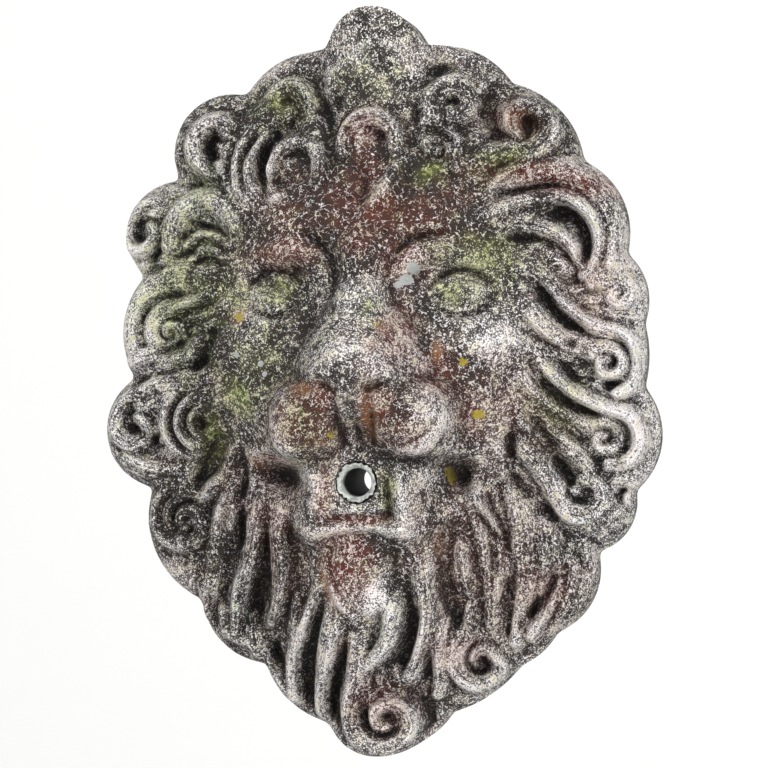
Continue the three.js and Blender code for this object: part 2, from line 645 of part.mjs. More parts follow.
function soften(heights, row) {
  return heights.map((height, k) => {
    const i = k % row;
    const j = Math.floor(k / row);
    if (i === 0 || j === 0 || i === row - 1 || j === row - 1) return height;
    const beside = heights[k - 1] + heights[k + 1] + heights[k - row] + heights[k + row];
    const across = heights[k - row - 1] + heights[k - row + 1] + heights[k + row - 1] + heights[k + row + 1];
    return height / 4 + beside / 8 + across / 16;
  });
}

// The net is halved, triangle by triangle, only as finely as the surface asks for. Two triangles fill
// the square, each is halved across its long side, and so on, and the halves meet without gaps because
// a point that one triangle needs also counts for the larger triangles that hold it.
function cornersOf(number) {
  let id = number + 2;
  let [ax, ay, bx, by, cx, cy] = id & 1 ? [0, 0, CELLS, CELLS, CELLS, 0] : [CELLS, CELLS, 0, 0, 0, CELLS];
  for (id >>= 1; id > 1; id >>= 1) {
    const [mx, my] = [(ax + bx) / 2, (ay + by) / 2];
    if (id & 1) [bx, by, ax, ay] = [ax, ay, cx, cy];
    else [ax, ay, bx, by] = [bx, by, cx, cy];
    [cx, cy] = [mx, my];
  }
  return [ax, ay, bx, by, cx, cy];
}

function splitNeeds(standOff) {
  const row = CELLS + 1;
  const needs = new Float64Array(row * row);
  for (let number = CELLS * CELLS * 2 - 3; number >= 0; number -= 1) {
    const [ax, ay, bx, by, cx, cy] = cornersOf(number);
    const middle = ((ay + by) / 2) * row + (ax + bx) / 2;
    needs[middle] = Math.max(needs[middle], standOff(ay * row + ax, by * row + bx, middle));
    if ((ax + cx) % 2 || (ay + cy) % 2) continue;
    const left = ((ay + cy) / 2) * row + (ax + cx) / 2;
    const right = ((by + cy) / 2) * row + (bx + cx) / 2;
    needs[middle] = Math.max(needs[middle], needs[left], needs[right]);
  }
  return needs;
}

function splitTriangles(needs) {
  const row = CELLS + 1;
  const triangles = [];
  const split = (ax, ay, bx, by, cx, cy) => {
    const [mx, my] = [(ax + bx) / 2, (ay + by) / 2];
    const whole = Number.isInteger(mx) && Number.isInteger(my);
    if (whole && needs[my * row + mx] > CLOSENESS) {
      split(cx, cy, ax, ay, mx, my);
      split(bx, by, cx, cy, mx, my);
    } else {
      triangles.push([ay * row + ax, cy * row + cx, by * row + bx]);
    }
  };
  split(0, 0, CELLS, CELLS, CELLS, 0);
  split(CELLS, CELLS, 0, 0, 0, CELLS);
  return triangles;
}

function maskGeometry() {
  const row = CELLS + 1;
  const places = [];
  for (let k = 0; k < row * row; k += 1) places.push(netPoint(k % row, Math.floor(k / row)));
  let heights = places.map(([x, z]) => maskHeight(x, z));
  for (let pass = 0; pass < SOFTENING; pass += 1) heights = soften(heights, row);
  const onEdge = (k) => k % row === 0 || k % row === CELLS || k < row || k >= CELLS * row;
  const standOff = (a, b, m) => {
    const rise = Math.abs(heights[m] - (heights[a] + heights[b]) / 2);
    if (!(onEdge(a) && onEdge(b) && onEdge(m))) return rise;
    const aside = [0, 1].map((n) => places[m][n] - (places[a][n] + places[b][n]) / 2);
    return 3 * Math.hypot(...aside) + rise;
  };
  const triangles = splitTriangles(splitNeeds(standOff));
  const used = new Map();
  const points = [];
  const place = (k) => {
    if (!used.has(k)) {
      used.set(k, points.length / 3);
      points.push(places[k][0], -heights[k], places[k][1]);
    }
    return used.get(k);
  };
  const index = triangles.flatMap((corners) => corners.map(place));
  const around = [];
  for (let k = 0; k < CELLS; k += 1) around.push(k);
  for (let k = 0; k < CELLS; k += 1) around.push(k * row + CELLS);
  for (let k = CELLS; k > 0; k -= 1) around.push(CELLS * row + k);
  for (let k = CELLS; k > 0; k -= 1) around.push(k * row);
  const edge = around.filter((k) => used.has(k)).map(place);
  const back = points.length / 3;
  edge.forEach((k) => points.push(points[3 * k], 0, points[3 * k + 2]));
  edge.forEach((k, n) => {
    const m = (n + 1) % edge.length;
    index.push(k, back + n, edge[m], edge[m], back + n, back + m);
  });
  const contour = edge.map((k) => new THREE.Vector2(points[3 * k], points[3 * k + 2]));
  for (const [a, b, c] of THREE.ShapeUtils.triangulateShape(contour, [])) {
    index.push(back + a, back + c, back + b);
  }
  const geometry = new THREE.BufferGeometry();
  geometry.setAttribute("position", new THREE.Float32BufferAttribute(points, 3));
  geometry.setIndex(index);
  return geometry;
}

// Turned pieces lie along -Y at the spout's place
function turnedAlongWall(profile, sides) {
  const geometry = new THREE.LatheGeometry(profile.map(([r, h]) => new THREE.Vector2(r, h)), sides);
  geometry.rotateX(Math.PI);
  return geometry.translate(SPOUT.x, 0, SPOUT.z);
}

function boreGeometry() {
  const profile = [
    [0, -5], [SPOUT.recess, -5], [SPOUT.recess, SPOUT.recessDepth], [SPOUT.bore, SPOUT.recessDepth],
    [SPOUT.bore, SPOUT.mouthFrom], [SPOUT.mouth, SPOUT.mouthTo], [SPOUT.mouth, SPOUT.mouthTo + 40],
    [0, SPOUT.mouthTo + 40],
  ];
  return turnedAlongWall(profile, PIPE.sides);
}

function pipeGeometry() {
  const profile = [
    [PIPE.inner, PIPE.back], [PIPE.outer, PIPE.back], [PIPE.outer, PIPE.flareFrom], [PIPE.flare, PIPE.front],
    [PIPE.inner + 1.2, PIPE.front], [PIPE.inner, PIPE.flareFrom], [PIPE.inner, PIPE.back],
  ];
  return turnedAlongWall(profile, PIPE.sides);
}

// Joining and cutting
const wasm = await Module();
wasm.setup();

function toSolid(geometry) {
  const bare = geometry.clone();
  bare.deleteAttribute("normal");
  bare.deleteAttribute("uv");
  const merged = mergeVertices(bare, 1e-4);
  return new wasm.Manifold(new wasm.Mesh({
    numProp: 3,
    vertProperties: new Float32Array(merged.attributes.position.array),
    triVerts: new Uint32Array(merged.index.array),
  }));
}

function toGeometry(solid) {
  const mesh = solid.getMesh();
  const geometry = new THREE.BufferGeometry();
  geometry.setAttribute("position", new THREE.Float32BufferAttribute(Array.from(mesh.vertProperties), 3));
  geometry.setIndex(Array.from(mesh.triVerts));
  geometry.computeVertexNormals();
  return geometry;
}

const castStone = new THREE.MeshStandardMaterial({
  name: "cast stone", color: 0x6a615a, roughness: 0.9, metalness: 0,
});
const lead = new THREE.MeshStandardMaterial({ name: "lead", color: 0xb4b8b2, roughness: 0.6, metalness: 0.3 });

const mask = new THREE.Mesh(toGeometry(toSolid(maskGeometry()).subtract(toSolid(boreGeometry()))), castStone);
mask.name = "lion_mask";

const pipe = new THREE.Mesh(toGeometry(toSolid(pipeGeometry())), lead);
pipe.name = "spout_pipe";

const fountain = new THREE.Group();
fountain.add(mask, pipe);

export default fountain;
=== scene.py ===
"""Lion head wall fountain: a weathered cast stone mask and the lead pipe set in its mouth.

The mask is a relief. Its form is worked out as a height over the wall at every place (x, z), in
millimetres: a plate with a lobed outline, the skull and the jaw, the features of the face one after
another, and the locks of the mane on top. The mesh is that height laid over a fine net.
"""

import logging
import math
from dataclasses import dataclass, field
from enum import Enum
from typing import Callable, Protocol

import bmesh
import bpy
import numpy as np
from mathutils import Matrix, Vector

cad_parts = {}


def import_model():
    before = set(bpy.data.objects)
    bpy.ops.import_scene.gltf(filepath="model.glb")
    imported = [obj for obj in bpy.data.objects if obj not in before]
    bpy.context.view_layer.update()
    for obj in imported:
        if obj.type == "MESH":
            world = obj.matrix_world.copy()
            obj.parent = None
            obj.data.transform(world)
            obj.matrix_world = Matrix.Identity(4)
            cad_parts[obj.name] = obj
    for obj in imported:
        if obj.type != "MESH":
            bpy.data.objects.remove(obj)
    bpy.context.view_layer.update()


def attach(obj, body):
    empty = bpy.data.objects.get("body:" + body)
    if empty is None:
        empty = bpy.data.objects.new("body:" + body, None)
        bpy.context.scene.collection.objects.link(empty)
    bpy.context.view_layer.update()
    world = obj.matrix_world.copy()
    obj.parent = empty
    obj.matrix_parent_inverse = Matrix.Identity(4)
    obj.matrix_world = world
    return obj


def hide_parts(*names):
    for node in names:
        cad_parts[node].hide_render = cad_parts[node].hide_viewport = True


Pair = tuple[float, float]
Array = np.ndarray
Colour = tuple[float, float, float, float]
Tree = bpy.types.NodeTree
Socket = bpy.types.NodeSocket
Inputs = dict[str | int, object]
MM = 0.001
PER_METRE = 1000

log = logging.getLogger("lion_fountain")


# Soft shapes


def soft_max(a: Array, b: Array, blend: float) -> Array:
    """The higher of two heights, the crease rounded where they differ by less than blend."""
    h = np.clip(0.5 + 0.5 * (a - b) / blend, 0, 1)
    return b + (a - b) * h + blend * h * (1 - h)


def turned(x: Array, z: Array, at: Pair, size: Pair, turn: float) -> tuple[Array, Array]:
    """Places as seen from a turned ellipse.

    Args:
        x: places across.
        z: places upwards.
        at: centre of the ellipse.
        size: its half axes.
        turn: how far it is turned, in degrees.

    Returns:
        The two coordinates, in half axes.
    """
    c, s = math.cos(math.radians(turn)), math.sin(math.radians(turn))
    u = ((x - at[0]) * c + (z - at[1]) * s) / size[0]
    v = (-(x - at[0]) * s + (z - at[1]) * c) / size[1]
    return u, v


def mound(x: Array, z: Array, at: Pair, size: Pair, turn: float) -> Array:
    """A soft mound, 1 at its middle and about a third of that at its half axes."""
    u, v = turned(x, z, at, size, turn)
    return np.exp(-(u * u + v * v))


def bezier(a: Array, b: Array, c: Array, d: Array, steps: int) -> Array:
    """Points, one a row, along the cubic curve from a to d with the handles b and c."""
    t = np.linspace(0, 1, steps)[:, None]
    return (1 - t) ** 3 * a + 3 * (1 - t) ** 2 * t * b + 3 * (1 - t) * t * t * c + t**3 * d


def swayed_path(root: Pair, point: Pair, sway: Pair, steps: int = 26) -> Array:
    """A path drawn aside at a third and at two thirds of its way.

    Args:
        root: where it starts.
        point: where it ends.
        sway: how far it is drawn to the left of travel, at each third.
        steps: number of points.

    Returns:
        The points, one a row.
    """
    a, b = np.array(root, float), np.array(point, float)
    chord = b - a
    left = np.array([-chord[1], chord[0]]) / max(math.hypot(*chord), 1e-6)
    first = a + chord / 3 + left * sway[0] * 4 / 3
    second = a + chord * 2 / 3 + left * sway[1] * 4 / 3
    return bezier(a, first, second, b, steps)


@dataclass
class Path:
    """A line of points that places are measured from."""

    points: Array

    def near(self, x: Array, z: Array, reach: float) -> Array:
        """Which places lie in the path's box, widened by reach."""
        low, high = self.points.min(0) - reach, self.points.max(0) + reach
        return (x > low[0]) & (x < high[0]) & (z > low[1]) & (z < high[1])

    def measure(self, x: Array, z: Array) -> tuple[Array, Array, Array]:
        """How places lie to the path.

        Args:
            x: places across.
            z: places upwards.

        Returns:
            The distance, the side (1 on the left) and the share of the path's length.
        """
        step = np.diff(self.points, axis=0)
        size = np.maximum(np.hypot(step[:, 0], step[:, 1]), 1e-9)
        before = np.concatenate([[0], np.cumsum(size)])
        best = np.full(x.shape, np.inf)
        side, share = np.zeros_like(x), np.zeros_like(x)
        for start, run, length, done in zip(self.points, step, size, before):
            ux, uz = run / length
            dx, dz = x - start[0], z - start[1]
            t = np.clip(dx * ux + dz * uz, 0, length)
            square = (dx - t * ux) ** 2 + (dz - t * uz) ** 2
            closer = square < best
            best[closer] = square[closer]
            side[closer] = (ux * dz - uz * dx)[closer]
            share[closer] = (done + t)[closer] / before[-1]
        return np.sqrt(best), np.sign(side), share


# Outline


@dataclass
class Outline:
    """The lobed edge of the mask, as a radius for each direction from its middle.

    Each lobe is the notch that it starts from and how far it bulges on its way to the next notch.
    """

    lobes: tuple[tuple[float, float, float], ...] = (
        (-33, 229, 27),
        (33, 230, 11),
        (91, 206, 12),
        (140, 153, 13),
        (170, 89, 8),
        (182, 41, 3),
        (182, -3, 15),
        (176, -74, 10),
        (150, -116, 12),
        (122, -172, 3),
        (97, -195, 5),
        (50, -227, 22),
        (-33, -236, 9),
        (-79, -195, 12),
        (-126, -151, 17),
        (-161, -73, 27),
        (-174, 3, 12),
        (-167, 75, 25),
        (-141, 141, 25),
        (-94, 200, 11),
    )
    notch_softness: float = 0.75
    kernel_half: int = 8
    directions: int = 1440
    radii: Array = field(init=False)

    def __post_init__(self) -> None:
        """Draws the lobes and turns them into radii."""
        starts = [np.array(lobe[:2], float) for lobe in self.lobes]
        ends = starts[1:] + starts[:1]
        ring = np.concatenate([self.lobe(a, b, s[2]) for a, b, s in zip(starts, ends, self.lobes)])
        angle, reach = np.arctan2(ring[:, 1], ring[:, 0]), np.hypot(ring[:, 0], ring[:, 1])
        order = np.argsort(angle)
        angle, reach = angle[order], reach[order]
        around = np.concatenate([angle - 2 * np.pi, angle, angle + 2 * np.pi])
        raw = np.interp(self.grid[:-1], around, np.tile(reach, 3))
        spread = self.notch_softness * self.directions / 360
        half = self.kernel_half
        kernel = np.exp(-0.5 * (np.arange(-half, half + 1) / spread) ** 2)
        soft = np.convolve(np.concatenate([raw[-half:], raw, raw[:half]]), kernel / kernel.sum(), "valid")
        self.radii = np.append(soft, soft[0])

    @property
    def grid(self) -> Array:
        """The directions that the radii are kept for."""
        return np.linspace(-np.pi, np.pi, self.directions + 1)

    def lobe(self, start: Array, end: Array, bulge: float, steps: int = 14) -> Array:
        """The round edge of one lobe.

        Args:
            start: the notch it starts from.
            end: the notch it ends at.
            bulge: how far it stands out from the line between them.
            steps: number of points.

        Returns:
            The points, one a row.
        """
        chord = end - start
        half = math.hypot(*chord) / 2
        outward = np.array([-chord[1], chord[0]]) / (2 * half)
        radius = (half**2 + bulge**2) / (2 * bulge)
        centre = (start + end) / 2 + outward * (bulge - radius)
        first = math.atan2(*(start - centre)[::-1])
        sweep = math.atan2(*(end - centre)[::-1]) - first
        sweep = (sweep + math.pi) % (2 * math.pi) - math.pi
        if bulge > half and sweep > 0:
            sweep -= 2 * math.pi
        angle = first + sweep * np.arange(steps) / steps
        return centre + radius * np.stack([np.cos(angle), np.sin(angle)], 1)

    def radius(self, angle: Array) -> Array:
        """The edge's distance from the middle in each direction."""
        return np.interp(angle, self.grid, self.radii)


# Features of the face


class Feature(Protocol):
    """Anything that is modelled onto the height so far."""

    def add(self, h: Array, x: Array, z: Array) -> Array:
        """The height with the feature added."""


@dataclass(frozen=True)
class Swell:
    """A soft swelling, or with a negative rise a soft hollow."""

    at: Pair
    size: Pair
    rise: float
    turn: float = 0

    def add(self, h: Array, x: Array, z: Array) -> Array:
        """The height with the swelling added."""
        return h + self.rise * mound(x, z, self.at, self.size, self.turn)


@dataclass(frozen=True)
class Form:
    """A rounded body that stands out of what is behind it.

    power is how square its outline is, from 2 for an ellipse, and base the height that it rises from.
    """

    at: Pair
    size: Pair
    turn: float
    power: float
    base: float
    rise: float
    blend: float
    fullness: float = 0.62

    def add(self, h: Array, x: Array, z: Array) -> Array:
        """The height with the body joined on."""
        u, v = turned(x, z, self.at, self.size, self.turn)
        q = np.abs(u) ** self.power + np.abs(v) ** self.power
        dome = np.where(q < 1, np.clip(1 - q, 0, 1) ** self.fullness, 1 - q)
        return soft_max(h, self.base + self.rise * dome, self.blend)


# Share of its rise that a ridge keeps at its ends.
END_RISE = 0.35


def raise_along(h: Array, x: Array, z: Array, path: Path, width: float, rise: float, taper: float) -> Array:
    """The height with a soft ridge along a path.

    Args:
        h: the height so far.
        x: places across.
        z: places upwards.
        path: the line that the ridge follows.
        width: half its width.
        rise: how high it stands, negative for a groove.
        taper: share of its length over which each end dies away.

    Returns:
        The height with the ridge added.
    """
    near = path.near(x, z, 3 * width)
    out = h.copy()
    distance, _, share = path.measure(x[near], z[near])
    end = np.clip(np.minimum(share, 1 - share) / taper, 0, 1)
    out[near] += rise * np.exp(-((distance / width) ** 2)) * (END_RISE + (1 - END_RISE) * np.sqrt(end))
    return out


@dataclass(frozen=True)
class Ridge:
    """A soft ridge along a swayed path, or with a negative rise a groove."""

    root: Pair
    point: Pair
    sway: Pair
    width: float
    rise: float
    taper: float = 0.25

    def add(self, h: Array, x: Array, z: Array) -> Array:
        """The height with the ridge added."""
        path = Path(swayed_path(self.root, self.point, self.sway, 17))
        return raise_along(h, x, z, path, self.width, self.rise, self.taper)


@dataclass(frozen=True)
class Coil:
    """A soft ridge wound round a centre, or with a negative rise a groove.

    entry is where it starts, in degrees with 0 to the right and 90 up, and turn how far it winds,
    negative clockwise.
    """

    centre: Pair
    radius: float
    entry: float
    turn: float
    width: float
    rise: float
    inner: float = 1
    taper: float = 0.25

    def add(self, h: Array, x: Array, z: Array) -> Array:
        """The height with the ridge added."""
        # a point about every 8 degrees
        share = np.linspace(0, 1, max(12, int(abs(self.turn) / 8)))[:, None]
        angle = np.radians(self.entry + self.turn * share)
        reach = self.radius * (1 - (1 - self.inner) * share)
        points = np.array(self.centre) + reach * np.concatenate([np.cos(angle), np.sin(angle)], 1)
        return raise_along(h, x, z, Path(points), self.width, self.rise, self.taper)


@dataclass(frozen=True)
class Profile:
    """A smooth curve through given places and values."""

    stops: tuple[Pair, ...]

    def at(self, value: Array) -> Array:
        """The curve's value at each place."""
        place, level = np.array(self.stops, float).T
        slope = np.gradient(level)
        slope[1:-1] = (level[2:] - level[:-2]) / (place[2:] - place[:-2])
        slope[0] = (level[1] - level[0]) / (place[1] - place[0])
        slope[-1] = (level[-1] - level[-2]) / (place[-1] - place[-2])
        value = np.clip(value, place[0], place[-1])
        i = np.clip(np.searchsorted(place, value, side="left") - 1, 0, len(place) - 2)
        step, rise = place[i + 1] - place[i], level[i + 1] - level[i]
        t = (value - place[i]) / step
        bend = (slope[i] * step - rise) * (1 - t) + (rise - slope[i + 1] * step) * t
        return level[i] + rise * t + t * (1 - t) * bend


@dataclass(frozen=True)
class Bridge:
    """The back of the nose, from the brow down to the pad.

    height and width are its height over the wall and half its width, each at given places upwards.
    At half its width it has fallen by drop and crown together, hardly at all near the middle.
    """

    middle: float = 2
    drop: float = 16
    crown: float = 2
    blend: float = 8
    height: Profile = Profile(
        (
            (-46, 60),
            (-30, 118),
            (-14, 145),
            (5, 149),
            (18, 146),
            (40, 133),
            (70, 118),
            (95, 106),
            (118, 88),
            (140, 60),
        )
    )
    width: Profile = Profile(
        ((-14, 28), (10, 31), (30, 28), (46, 22), (64, 17), (80, 19), (100, 26), (125, 34))
    )

    def add(self, h: Array, x: Array, z: Array) -> Array:
        """The height with the bridge joined on."""
        aside = np.abs(x - self.middle) / self.width.at(z)
        return soft_max(h, self.height.at(z) - self.drop * aside**2.5 - self.crown * aside**2, self.blend)


def falling(past: Array, run: float, drop: float, power: float = 1.5) -> Array:
    """How far a flat has fallen at places past its edge: by drop where past is run."""
    return drop * (np.maximum(past, 0) / run) ** power


@dataclass(frozen=True)
class MouthFlat:
    """The flat of the mouth under the muzzle, which the pipe comes out of."""

    level: float = 111
    half_width: float = 30
    top: float = -30
    bottom: float = -98
    blend: float = 8

    def add(self, h: Array, x: Array, z: Array) -> Array:
        """The height with the flat joined on."""
        sides = falling(np.abs(x) - self.half_width, 20, 30, 1.6)
        below = falling(self.bottom - z, 16, 24)
        above = falling(z - self.top, 12, 30)
        return soft_max(h, self.level - sides - below - above, self.blend)


@dataclass(frozen=True)
class CrownShell:
    """The face of the shell at the crown: slightly hollow, with faint flutes.

    inner and outer are its two ends, from centre, and spread and flute are in degrees.
    """

    centre: Pair = (1, 160)
    inner: float = 30
    outer: float = 72
    spread: float = 24
    flute: float = 9
    hollow: float = 2.5
    ripple: float = 0.5

    def add(self, h: Array, x: Array, z: Array) -> Array:
        """The height with the face hollowed."""
        reach = np.hypot(x - self.centre[0], z - self.centre[1])
        angle = np.degrees(np.arctan2(x - self.centre[0], z - self.centre[1]))
        # it dies out over 8 mm at its inner end, 6 mm at its outer end and 6 degrees at its sides
        ends = np.clip((reach - self.inner) / 8, 0, 1) * np.clip((self.outer - reach) / 6, 0, 1)
        body = ends * np.clip((self.spread - np.abs(angle)) / 6, 0, 1)
        return h - body * (self.hollow - self.ripple * np.cos(2 * np.pi * angle / self.flute))


def both(build: Callable[[int], list[Feature]]) -> list[Feature]:
    """The same features on the left (-1) and on the right (1)."""
    return build(-1) + build(1)


def face_features() -> list[Feature]:
    """The features of the face, in the order that they are modelled.

    Returns:
        The features.
    """
    # forehead: two swellings, a forelock that falls between them to the left, a boss between the brows
    features: list[Feature] = [
        Swell((2, -24), (54, 40), 18),
        Swell((-38, 114), (26, 17), 9, 20),
        Swell((-62, 118), (13, 10), 3, 30),
        Swell((48, 112), (30, 18), 9, -18),
        Ridge((24, 154), (0, 112), (3, 4), 6, 10, 0.35),
        Ridge((10, 124), (-4, 90), (2, 2), 8, 5, 0.4),
        Ridge((-4, 148), (-14, 94), (10, 4), 3, -8, 0.35),
        Ridge((30, 142), (15, 98), (3, 3), 3.4, -4, 0.4),
    ]
    # eye sockets, brows rolled round the inner corners, lids, bags under the eyes, cheekbones
    features += both(
        lambda s: [
            Swell((61 * s + 3, 62), (24, 16), -9),
            Ridge((20 * s + 1, 64), (82 * s, 80), (19 * s, 14 * s), 8, 7),
            Ridge((17 * s + 1, 66), (27 * s, 34), (-3 * s, -4 * s), 4, -5),
            Ridge((44 * s + 3, 60), (80 * s + 3, 58), (11 * s, 11 * s), 2.3, 4),
            Ridge((45 * s + 3, 57), (80 * s + 3, 57), (-8 * s, -7 * s), 2.3, 4),
            Ridge((47 * s + 3, 53), (82 * s + 3, 53), (-9 * s, -8 * s), 2, -3.5),
            Ridge((42 * s + 3, 64), (85 * s + 3, 62), (13 * s, 14 * s), 2.2, -6),
            Ridge((46 * s + 2, 44), (84 * s + 2, 46), (-5 * s, -5 * s), 4, 2),
            Swell((38 * s + 2, 42), (12, 15), -5, -20 * s),
            Swell((84 * s, 28), (18, 13), 8, 12 * s),
            Swell((86 * s, -4), (18, 18), 5),
            Swell((62 * s, 6), (10, 18), -3, 10 * s),
        ]
    )
    # what differs on the two sides: grooves round the brows, inner corners, eyeballs, the right iris
    features += [
        Ridge((-14, 62), (-42, 101), (-9, -7), 2.8, -8),
        Ridge((15, 62), (58, 100), (15, 13), 2.8, -8),
        Swell((-45, 77), (5, 4), -8, -30),
        Swell((39, 72), (6, 5), -6),
        Form((-57, 57), (18, 10), 0, 2, 83, 8, 3),
        Form((65, 60), (15, 9), 0, 2, 83, 8, 3),
        Coil((66, 60), 5.4, 0, 360, 1.3, -2.6, taper=0.01),
        Swell((66, 60), (2, 2), 1),
    ]
    # nose and the two lobes of the muzzle
    features += [
        Bridge(),
        Swell((4, 89), (13, 11), 5),
        Swell((3, 72), (17, 5), -3.5),
        Swell((-66, -22), (12, 24), 9),
        Form((-33, -25), (26, 26), 0, 2.5, 110, 27, 17),
        Form((35, -22), (28, 26), -20, 2.4, 108, 32, 12),
        MouthFlat(),
        Form((2, 4), (29, 17), 0, 2.5, 128, 25, 8),
        Ridge((-28, 4), (32, 2), (19, 19), 4, 3),
    ]
    features += both(
        lambda s: [
            Swell((1 + 16 * s, -2), (8, 4.5), -12, 25 * s),
            Swell((2 + 28 * s, 5), (7, 7), 4),
            Ridge((2 + 10 * s, -2), (2 + 9 * s, -42), (2 * s, 3 * s), 2.6, -6),
        ]
    )
    # groove in the middle of the lip, whisker folds on the right lobe, hollows at the mouth's corners
    features += [
        Ridge((2, -24), (3, -48), (0, 0), 1.8, -5),
        Ridge((16, -38), (57, -22), (-8, -9), 1.8, -4),
        Ridge((13, -42), (58, -30), (-9, -11), 2.2, 3),
        Ridge((11, -46), (58, -38), (-8, -10), 1.6, -3),
        Swell((-57, -64), (19, 9.5), -21, -12),
        Swell((64, -61), (13, 10), -21, 8),
    ]
    # folds round the hollows and down both sides of the pipe
    features += both(
        lambda s: [
            Ridge((40 * s, -46), (80 * s, -52), (4 * s, 7 * s), 4.5, 5),
            Ridge((80 * s, -60), (40 * s, -92), (5 * s, 8 * s), 6, 4),
        ]
    )
    features += [
        Ridge((-44, -48), (-32, -92), (13, 9), 5, 6, 0.4),
        Ridge((29, -50), (32, -98), (1, 1), 5, 6, 0.4),
        Swell((45, -61), (10, 9), 5),
        Ridge((-20, -54), (-22, -90), (0, 0), 3, -2, 0.4),
        Ridge((19, -60), (22, -90), (0, 0), 2.6, -6, 0.4),
    ]
    # ledge under the hole, lower lip, tongue shaped tuft
    features += [
        Ridge((-14, -83), (16, -83), (-2, -2), 4, 4),
        Swell((20, -86), (6, 4), -4, -10),
        Ridge((-24, -91), (27, -90), (1, 1), 3, -3.5),
        Ridge((-30, -100), (33, -99), (4, 4), 4.5, 5),
        Ridge((-24, -106), (26, -106), (6, 6), 2, -6),
        Form((-1, -124), (22, 34), 4, 2.3, 88, 14, 7),
        Swell((10, -146), (8, 11), 6),
        Ridge((-24, -106), (-4, -160), (-7, -8), 3, 5),
        Ridge((-20, -108), (0, -156), (-8, -8), 1.8, -3),
        Ridge((22, -106), (16, -156), (3, 3), 3, -4),
    ]
    # the shell at the crown with its rolled edges, and the swelling left of the forelock
    features += [
        Form((1, 210), (35, 42), 0, 2.6, 38, 14, 6),
        CrownShell(),
        Ridge((-22, 214), (27, 213), (17, 17), 3, 2.5),
        Ridge((-31, 214), (-25, 190), (-2, -2), 4.5, 4),
        Ridge((31, 214), (29, 192), (2, 2), 4.5, 3),
        Swell((-23, 191), (3.5, 5), -8),
        Swell((-15, 145), (11, 10), 6),
        Ridge((-26, 137), (-68, 121), (-2, -3), 4, 6),
    ]
    return features


# Mane


@dataclass(frozen=True)
class Lock:
    """One lock of hair: a rounded band of strands along a path.

    width is half the band's width at its fullest and tip the same at its end. lift is how far it
    stands off the ground, and groove the share of that which the grooves between strands take. At its
    root it has the shares root_width and root_lift of the two. It is full from full_at of its length
    on and has come out of the ground at out_at. Its strands wander by the share wander of its width,
    and the band leans, so that it stands highest at crest_at of its width and lower by up to twice
    lean away from there.
    """

    path: Path
    width: float
    lift: float
    tip: float
    strands: int
    groove: float = 0.22
    root_width: float = 0.75
    root_lift: float = 0.15
    full_at: float = 0.3
    out_at: float = 0.22
    thinning: float = 1.5
    flatness: float = 2.6
    shoulder: float = 0.75
    strand_shape: float = 0.6
    wander: float = 0.05
    lean: float = 0.15
    crest_at: float = 0.42

    def height(self, x: Array, z: Array) -> Array:
        """How far the lock stands over the ground at each place, nothing outside it."""
        return self.comb(x, z)[0]

    def comb(self, x: Array, z: Array) -> tuple[Array, Array, Array]:
        """The lock at each place.

        Args:
            x: places across.
            z: places upwards.

        Returns:
            How far it stands over the ground, how far each place lies beside its middle line with a
            sign for the side, and how clearly its single hairs show, from 0 at its edges to 1.
        """
        out, beside, clear = np.zeros_like(x), np.zeros_like(x), np.zeros_like(x)
        near = self.path.near(x, z, self.width)
        if not near.any():
            return out, beside, clear
        distance, side, share = self.path.measure(x[near], z[near])
        filled = np.sin(np.clip(share / self.full_at, 0, 1) * np.pi / 2)
        swell = self.width * (self.root_width + (1 - self.root_width) * filled)
        taper = share**self.thinning
        t = np.clip(distance / (swell * (1 - taper) + self.tip * taper), 0, 1)
        band = (1 - t**self.flatness) ** self.shoulder
        across = (side * t + 1) * 0.5 + self.wander * np.sin(7 * share + self.width)
        strand = np.abs(np.sin(np.pi * across * self.strands)) ** self.strand_shape
        lean = 1 - self.lean + self.lean * np.cos(np.pi * 1.3 * (across - self.crest_at))
        begun = np.clip(share / self.out_at, 0, 1)
        grow = self.root_lift + (1 - self.root_lift) * begun * begun * (3 - 2 * begun)
        out[near] = self.lift * grow * band * lean * (1 - self.groove + self.groove * strand)
        beside[near] = side * distance
        clear[near] = np.clip((1 - t) * 3, 0, 1) * begun
        return out, beside, clear


def strands_in(width: float) -> int:
    """Number of strands that a lock of that half width shows, each about 10 mm wide."""
    return max(2, round(width / 5.2))


@dataclass(frozen=True)
class Curl:
    """A lock that ends in a curl.

    entry is where its tail meets the curl, in degrees with 0 to the right and 90 up. turn is how far
    it winds, negative clockwise, and inner is the last radius over the first.
    """

    root: Pair
    centre: Pair
    radius: float
    entry: float
    turn: float
    width: float
    lift: float
    tip: float = 5
    inner: float = 0.2
    bow: float = 0
    strands: int = 0

    def lock(self) -> Lock:
        """The curl as a lock."""
        sense = math.copysign(1, self.turn)
        first = math.radians(self.entry)
        a, c = np.array(self.root, float), np.array(self.centre, float)
        start = c + self.radius * np.array([math.cos(first), math.sin(first)])
        along = sense * np.array([-math.sin(first), math.cos(first)])
        chord = start - a
        length = math.hypot(*chord)
        left = np.array([-chord[1], chord[0]]) / length
        tail = bezier(a, a + chord / 3 + left * self.bow * 4 / 3, start - along * 0.4 * length, start, 20)
        # a point at least every 9 degrees
        share = np.linspace(0, 1, max(36, int(abs(self.turn) / 9)))[:, None]
        angle = first + math.radians(self.turn) * share
        reach = self.radius * (1 - (1 - self.inner) * share)
        spiral = c + reach * np.concatenate([np.cos(angle), np.sin(angle)], 1)
        points = np.concatenate([tail[:-1], spiral])
        return Lock(Path(points), self.width, self.lift, self.tip, self.strands or strands_in(self.width))


